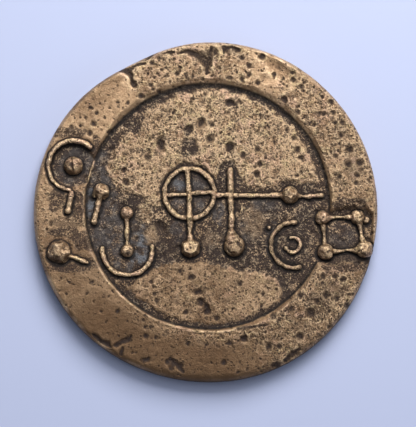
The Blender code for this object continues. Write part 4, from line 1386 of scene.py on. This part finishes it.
hollow_value = stored_value("hollow")
worn_and_lit_value = stored_value("worn_and_lit")
ground_value = stored_value("low_ground")
grey_value = stored_value("grey")
grime_value = stored_value("grime")
grit_value = stored_value("grit")
pits_value = stored_value("pits")
outline_value = stored_value("outline")
tarnish_and_shade_value = stored_value("tarnish_and_shade")
sign_value = stored_value("sign")


def greatest(*values):
    """The greatest of several values."""
    result = values[0]
    for value in values[1:]:
        result = reckon("MAXIMUM", result, value)
    return result


def ragged_share(value, soft, low, high):
    """A stored share with its edge broken up by the grain and made crisp."""
    for texture in (grain, sponge_noise):
        value = reckon("MULTIPLY_ADD", reckon("SUBTRACT", texture, 0.5), soft, value)
    return ramp(value, low, high)


def small_pits(spacing, inner, outer):
    """Scattered round pits, more of them where the skin is spongy."""
    cells = nodes.new("ShaderNodeTexVoronoi")
    cells.inputs["Scale"].default_value = 1 / spacing
    links.new(bent_place, cells.inputs["Vector"])
    chance = nodes.new("ShaderNodeSeparateColor")
    links.new(cells.outputs["Color"], chance.inputs["Color"])
    there = ramp(reckon("SUBTRACT", grit_value, chance.outputs["Red"]), -0.05, 0.15)
    return reckon("MULTIPLY", reckon("SUBTRACT", 1.0, ramp(cells.outputs["Distance"], inner, outer)), there)


broad_mottling = mottling(BROAD_MOTTLES)
middle_mottling = mottling(MIDDLE_MOTTLES, 4.0)
patchy = mottling(PATCHY_MOTTLES, 3.0)
sponge_noise = mottling(SPONGE_MOTTLES, 4.0, 0.66)
grain = mottling(GRAIN_MOTTLES, 3.0, 0.75)
bend = nodes.new("ShaderNodeTexNoise")
bend.inputs["Scale"].default_value = 1 / PINHOLE_BEND
links.new(object_place, bend.inputs["Vector"])
bending = nodes.new("ShaderNodeVectorMath")
bending.operation = "MULTIPLY_ADD"
links.new(bend.outputs["Color"], bending.inputs[0])
bending.inputs[1].default_value = (PINHOLE_BEND, PINHOLE_BEND, PINHOLE_BEND)
links.new(object_place, bending.inputs[2])
bent_place = bending.outputs["Vector"]
pinholes = greatest(*[small_pits(*sizes) for sizes in PINHOLES])

# How far the crests, the crevices and the pits of the skin show
roughened = reckon("MULTIPLY_ADD", grit_value, 0.88, 0.12)
roughened = reckon("MULTIPLY", roughened, reckon("MULTIPLY_ADD", ramp(patchy, 0.38, 0.60), -0.74, 1.52))
crest = reckon("MULTIPLY", ramp(grain, 0.48, 0.64), roughened)
crevice = reckon("MULTIPLY", reckon("SUBTRACT", 1.0, ramp(sponge_noise, 0.38, 0.47)), grit_value)
valley = reckon("MULTIPLY", reckon("SUBTRACT", 1.0, ramp(grain, 0.36, 0.50)), roughened)
speck = ramp(reckon("MULTIPLY_ADD", sponge_noise, 0.5, reckon("MULTIPLY", grain, 0.5)), 0.515, 0.56)
pit_share = ragged_share(pits_value, 1.1, 0.46, 0.74)
pit_heart = ragged_share(pits_value, 1.0, 0.70, 1.20)

# The bare bronze: brown where it is tarnished and where shade is painted, and golden where it is rubbed and
# where highlights are painted
brown = tint(ramp(broad_mottling, 0.38, 0.64), MID_BRONZE, BROWN_BRONZE)
brown = tint(reckon("MULTIPLY", ramp(middle_mottling, 0.46, 0.72), 0.5), brown, BROWN_BRONZE)
brown = tint(reckon("MULTIPLY", tarnish_and_shade_value, 0.95), brown, TARNISH_AND_SHADE)
rubbed_and_lit = reckon("MULTIPLY", worn_and_lit_value, reckon("MULTIPLY_ADD", grain, 1.2, 0.15))
lit_crest = reckon("MULTIPLY", crest, reckon("MULTIPLY_ADD", tarnish_and_shade_value, -0.55, 0.60))
# Painted highlight on the rims of the pits, most where the skin is spongy
pit_border = ragged_share(pits_value, 0.9, 0.05, 0.30)
pit_lip = reckon("SUBTRACT", pit_border, ragged_share(pits_value, 0.9, 0.34, 0.55))
pit_lip = reckon("MULTIPLY", reckon("MAXIMUM", pit_lip, 0.0), reckon("MULTIPLY", grit_value, grit_value))
rubbed_and_lit = reckon("MULTIPLY_ADD", pit_lip, 0.55, rubbed_and_lit)
# The rubbed value also takes the painted highlights on the pit rims and the grain's lit crests
rubbed_and_lit = reckon("ADD", lit_crest, rubbed_and_lit, clamp=True)
polished = tint(ramp(middle_mottling, 0.50, 0.66), BRIGHT_BRONZE, YELLOW_BRONZE)
polished = tint(ramp(patchy, 0.52, 0.66), polished, PINK_BRONZE)
colour = tint(rubbed_and_lit, brown, polished)

# What lies on it: dust and dark dirt in the low places, the grey-blue bloom, and black lines of dirt and
# painted shade
low_share = ragged_share(ground_value, 1.3, 0.22, 0.85)
crest_gap = reckon("MULTIPLY_ADD", crest, -0.7, 1.0)
dusty = reckon("MULTIPLY", reckon("MULTIPLY", low_share, ramp(broad_mottling, 0.34, 0.68)), crest_gap)
colour = tint(dusty, colour, GROUND_DUST)
bare_speck = reckon("MULTIPLY", speck, reckon("MULTIPLY_ADD", grey_value, -0.40, 1.0), clamp=True)
settled = reckon("MULTIPLY", low_share, reckon("MULTIPLY_ADD", bare_speck, -0.84, 1.0))
grime_gap = reckon("MULTIPLY_ADD", speck, -0.55, 0.88)
grime_share = reckon("MULTIPLY", ragged_share(grime_value, 1.2, 0.12, 0.55), grime_gap)
sunk = ramp(reckon("MULTIPLY_ADD", grain, 0.3, reckon("SUBTRACT", hollow_value, 0.15)), 0.05, 0.80)
in_pits = reckon("MULTIPLY_ADD", pit_heart, 0.30, reckon("MULTIPLY", pit_share, 0.62))
dark = greatest(sunk, settled, grime_share, in_pits, reckon("MULTIPLY", pinholes, 0.72))
dark = greatest(dark, reckon("MULTIPLY", crevice, 0.78))
dark = reckon("ADD", dark, reckon("MULTIPLY", valley, 0.40))
dark = reckon("SUBTRACT", dark, reckon("MULTIPLY", crest, 0.16), clamp=True)
colour = tint(reckon("MULTIPLY", dark, 0.95), colour, DARK_PATINA)
bloom = reckon("MULTIPLY", grey_value, ramp(middle_mottling, 0.35, 0.6))
bloom = reckon("MULTIPLY", bloom, reckon("MULTIPLY_ADD", speck, 0.40, 0.40), clamp=True)
colour = tint(bloom, colour, tint(ramp(grey_value, 1.0, 1.5), GREY_BLOOM, BLUE_BLOOM))
# Black lines of dirt and painted shade at the feet of the wall and the signs, and in the hearts of the pits
black_line = greatest(ragged_share(outline_value, 0.6, 0.15, 0.75), reckon("MULTIPLY", pit_heart, 0.35))
colour = tint(reckon("MULTIPLY", black_line, 0.85), colour, BLACK_DIRT_AND_SHADE)
links.new(colour, shader.inputs["Base Color"])
shader.inputs["Specular IOR Level"].default_value = SPECULAR
covered_share = greatest(dark, bloom, black_line)
metallic = reckon("MULTIPLY_ADD", covered_share, COVERED_METALLIC, BARE_METALLIC)
links.new(metallic, shader.inputs["Metallic"])
gleam = reckon("MULTIPLY_ADD", rubbed_and_lit, RUBBED_GLEAM, BARE_ROUGHNESS)
gleam = reckon("MULTIPLY_ADD", sign_value, SIGN_GLEAM, gleam)
links.new(reckon("MULTIPLY_ADD", covered_share, COVERED_DULLNESS, gleam), shader.inputs["Roughness"])

# The finest relief of the skin
relief_value = reckon("MULTIPLY", reckon("MULTIPLY_ADD", grit_value, 0.8, 0.25), grain)
relief_value = reckon("MULTIPLY_ADD", reckon("MULTIPLY", sponge_noise, grit_value), 1.2, relief_value)
relief_value = reckon("MULTIPLY_ADD", pinholes, -0.40, relief_value)
relief_value = reckon("MULTIPLY_ADD", pit_share, -0.60, relief_value)
bump = nodes.new("ShaderNodeBump")
bump.inputs["Strength"].default_value = 1.0
bump.inputs["Distance"].default_value = BUMP_DEPTH
links.new(relief_value, bump.inputs["Height"])
links.new(bump.outputs["Normal"], shader.inputs["Normal"])

blank.materials.append(bronze)
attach(casting, "root")
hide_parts("medallion")


# The plain pale floor, the soft studio light and the camera.
# The light is a broad soft one overhead, a nearer one beyond the upper edge and a weak one low on the
# right. The camera looks straight down, as the photograph does.
FLOOR_COLOUR = (0.455, 0.503, 0.692, 1)
CAMERA_HEIGHT = 0.30
FRAME_WIDTH = 0.06075
SENSOR = 36.0
CAMERA_SHIFT = (0.000248, -0.00010)
FLOOR_ROUGHNESS = 0.9
# Each light: its name, its place, what it points at, its size, its power and its colour
LIGHTS = (
    ("overhead", (0.06, 0.27, 0.66), (0, 0.03, 0), 0.40, 1.25, (0.93, 0.96, 1.0)),
    ("window", (0.05, 0.20, 0.20), (0, 0, 0), 0.17, 1.14, (1.0, 0.985, 0.96)),
    ("right_fill", (0.42, -0.24, 0.30), (0, 0, 0), 0.30, 0.31, (0.95, 0.97, 1.0)),
)
AIR_COLOUR = (0.80, 0.87, 1.0, 1)
AIR_STRENGTH = 0.175

floor_mesh = bmesh.new()
bmesh.ops.create_grid(floor_mesh, x_segments=8, y_segments=8, size=1.0)
floor_sheet = bpy.data.meshes.new("floor")
floor_mesh.to_mesh(floor_sheet)
floor = bpy.data.objects.new("floor", floor_sheet)
bpy.context.scene.collection.objects.link(floor)
card = bpy.data.materials.new("pale_card")
card.use_nodes = True
card.node_tree.nodes["Principled BSDF"].inputs["Base Color"].default_value = FLOOR_COLOUR
card.node_tree.nodes["Principled BSDF"].inputs["Roughness"].default_value = FLOOR_ROUGHNESS
floor_sheet.materials.append(card)


def soft_light(name, position, aim, size, power, colour):
    """A square soft light that points at a place."""
    lamp = bpy.data.lights.new(name, "AREA")
    lamp.shape = "SQUARE"
    lamp.size = size
    lamp.energy = power
    lamp.color = colour
    holder = bpy.data.objects.new(name, lamp)
    holder.location = position
    holder.rotation_euler = (Vector(aim) - Vector(position)).to_track_quat("-Z", "Y").to_euler()
    bpy.context.scene.collection.objects.link(holder)


for light in LIGHTS:
    soft_light(*light)
world = bpy.data.worlds.new("studio")
world.use_nodes = True
world.node_tree.nodes["Background"].inputs["Color"].default_value = AIR_COLOUR
world.node_tree.nodes["Background"].inputs["Strength"].default_value = AIR_STRENGTH
bpy.context.scene.world = world

lens = bpy.data.cameras.new("camera")
lens.sensor_fit = "HORIZONTAL"
lens.sensor_width = SENSOR
lens.lens = SENSOR * CAMERA_HEIGHT / FRAME_WIDTH
camera = bpy.data.objects.new("camera", lens)
camera.location = (MIDDLE[0] + CAMERA_SHIFT[0], MIDDLE[1] + CAMERA_SHIFT[1], CAMERA_HEIGHT + FIELD_GROUND)
bpy.context.scene.collection.objects.link(camera)
bpy.context.scene.camera = camera
bpy.context.scene.view_settings.view_transform = "Standard"
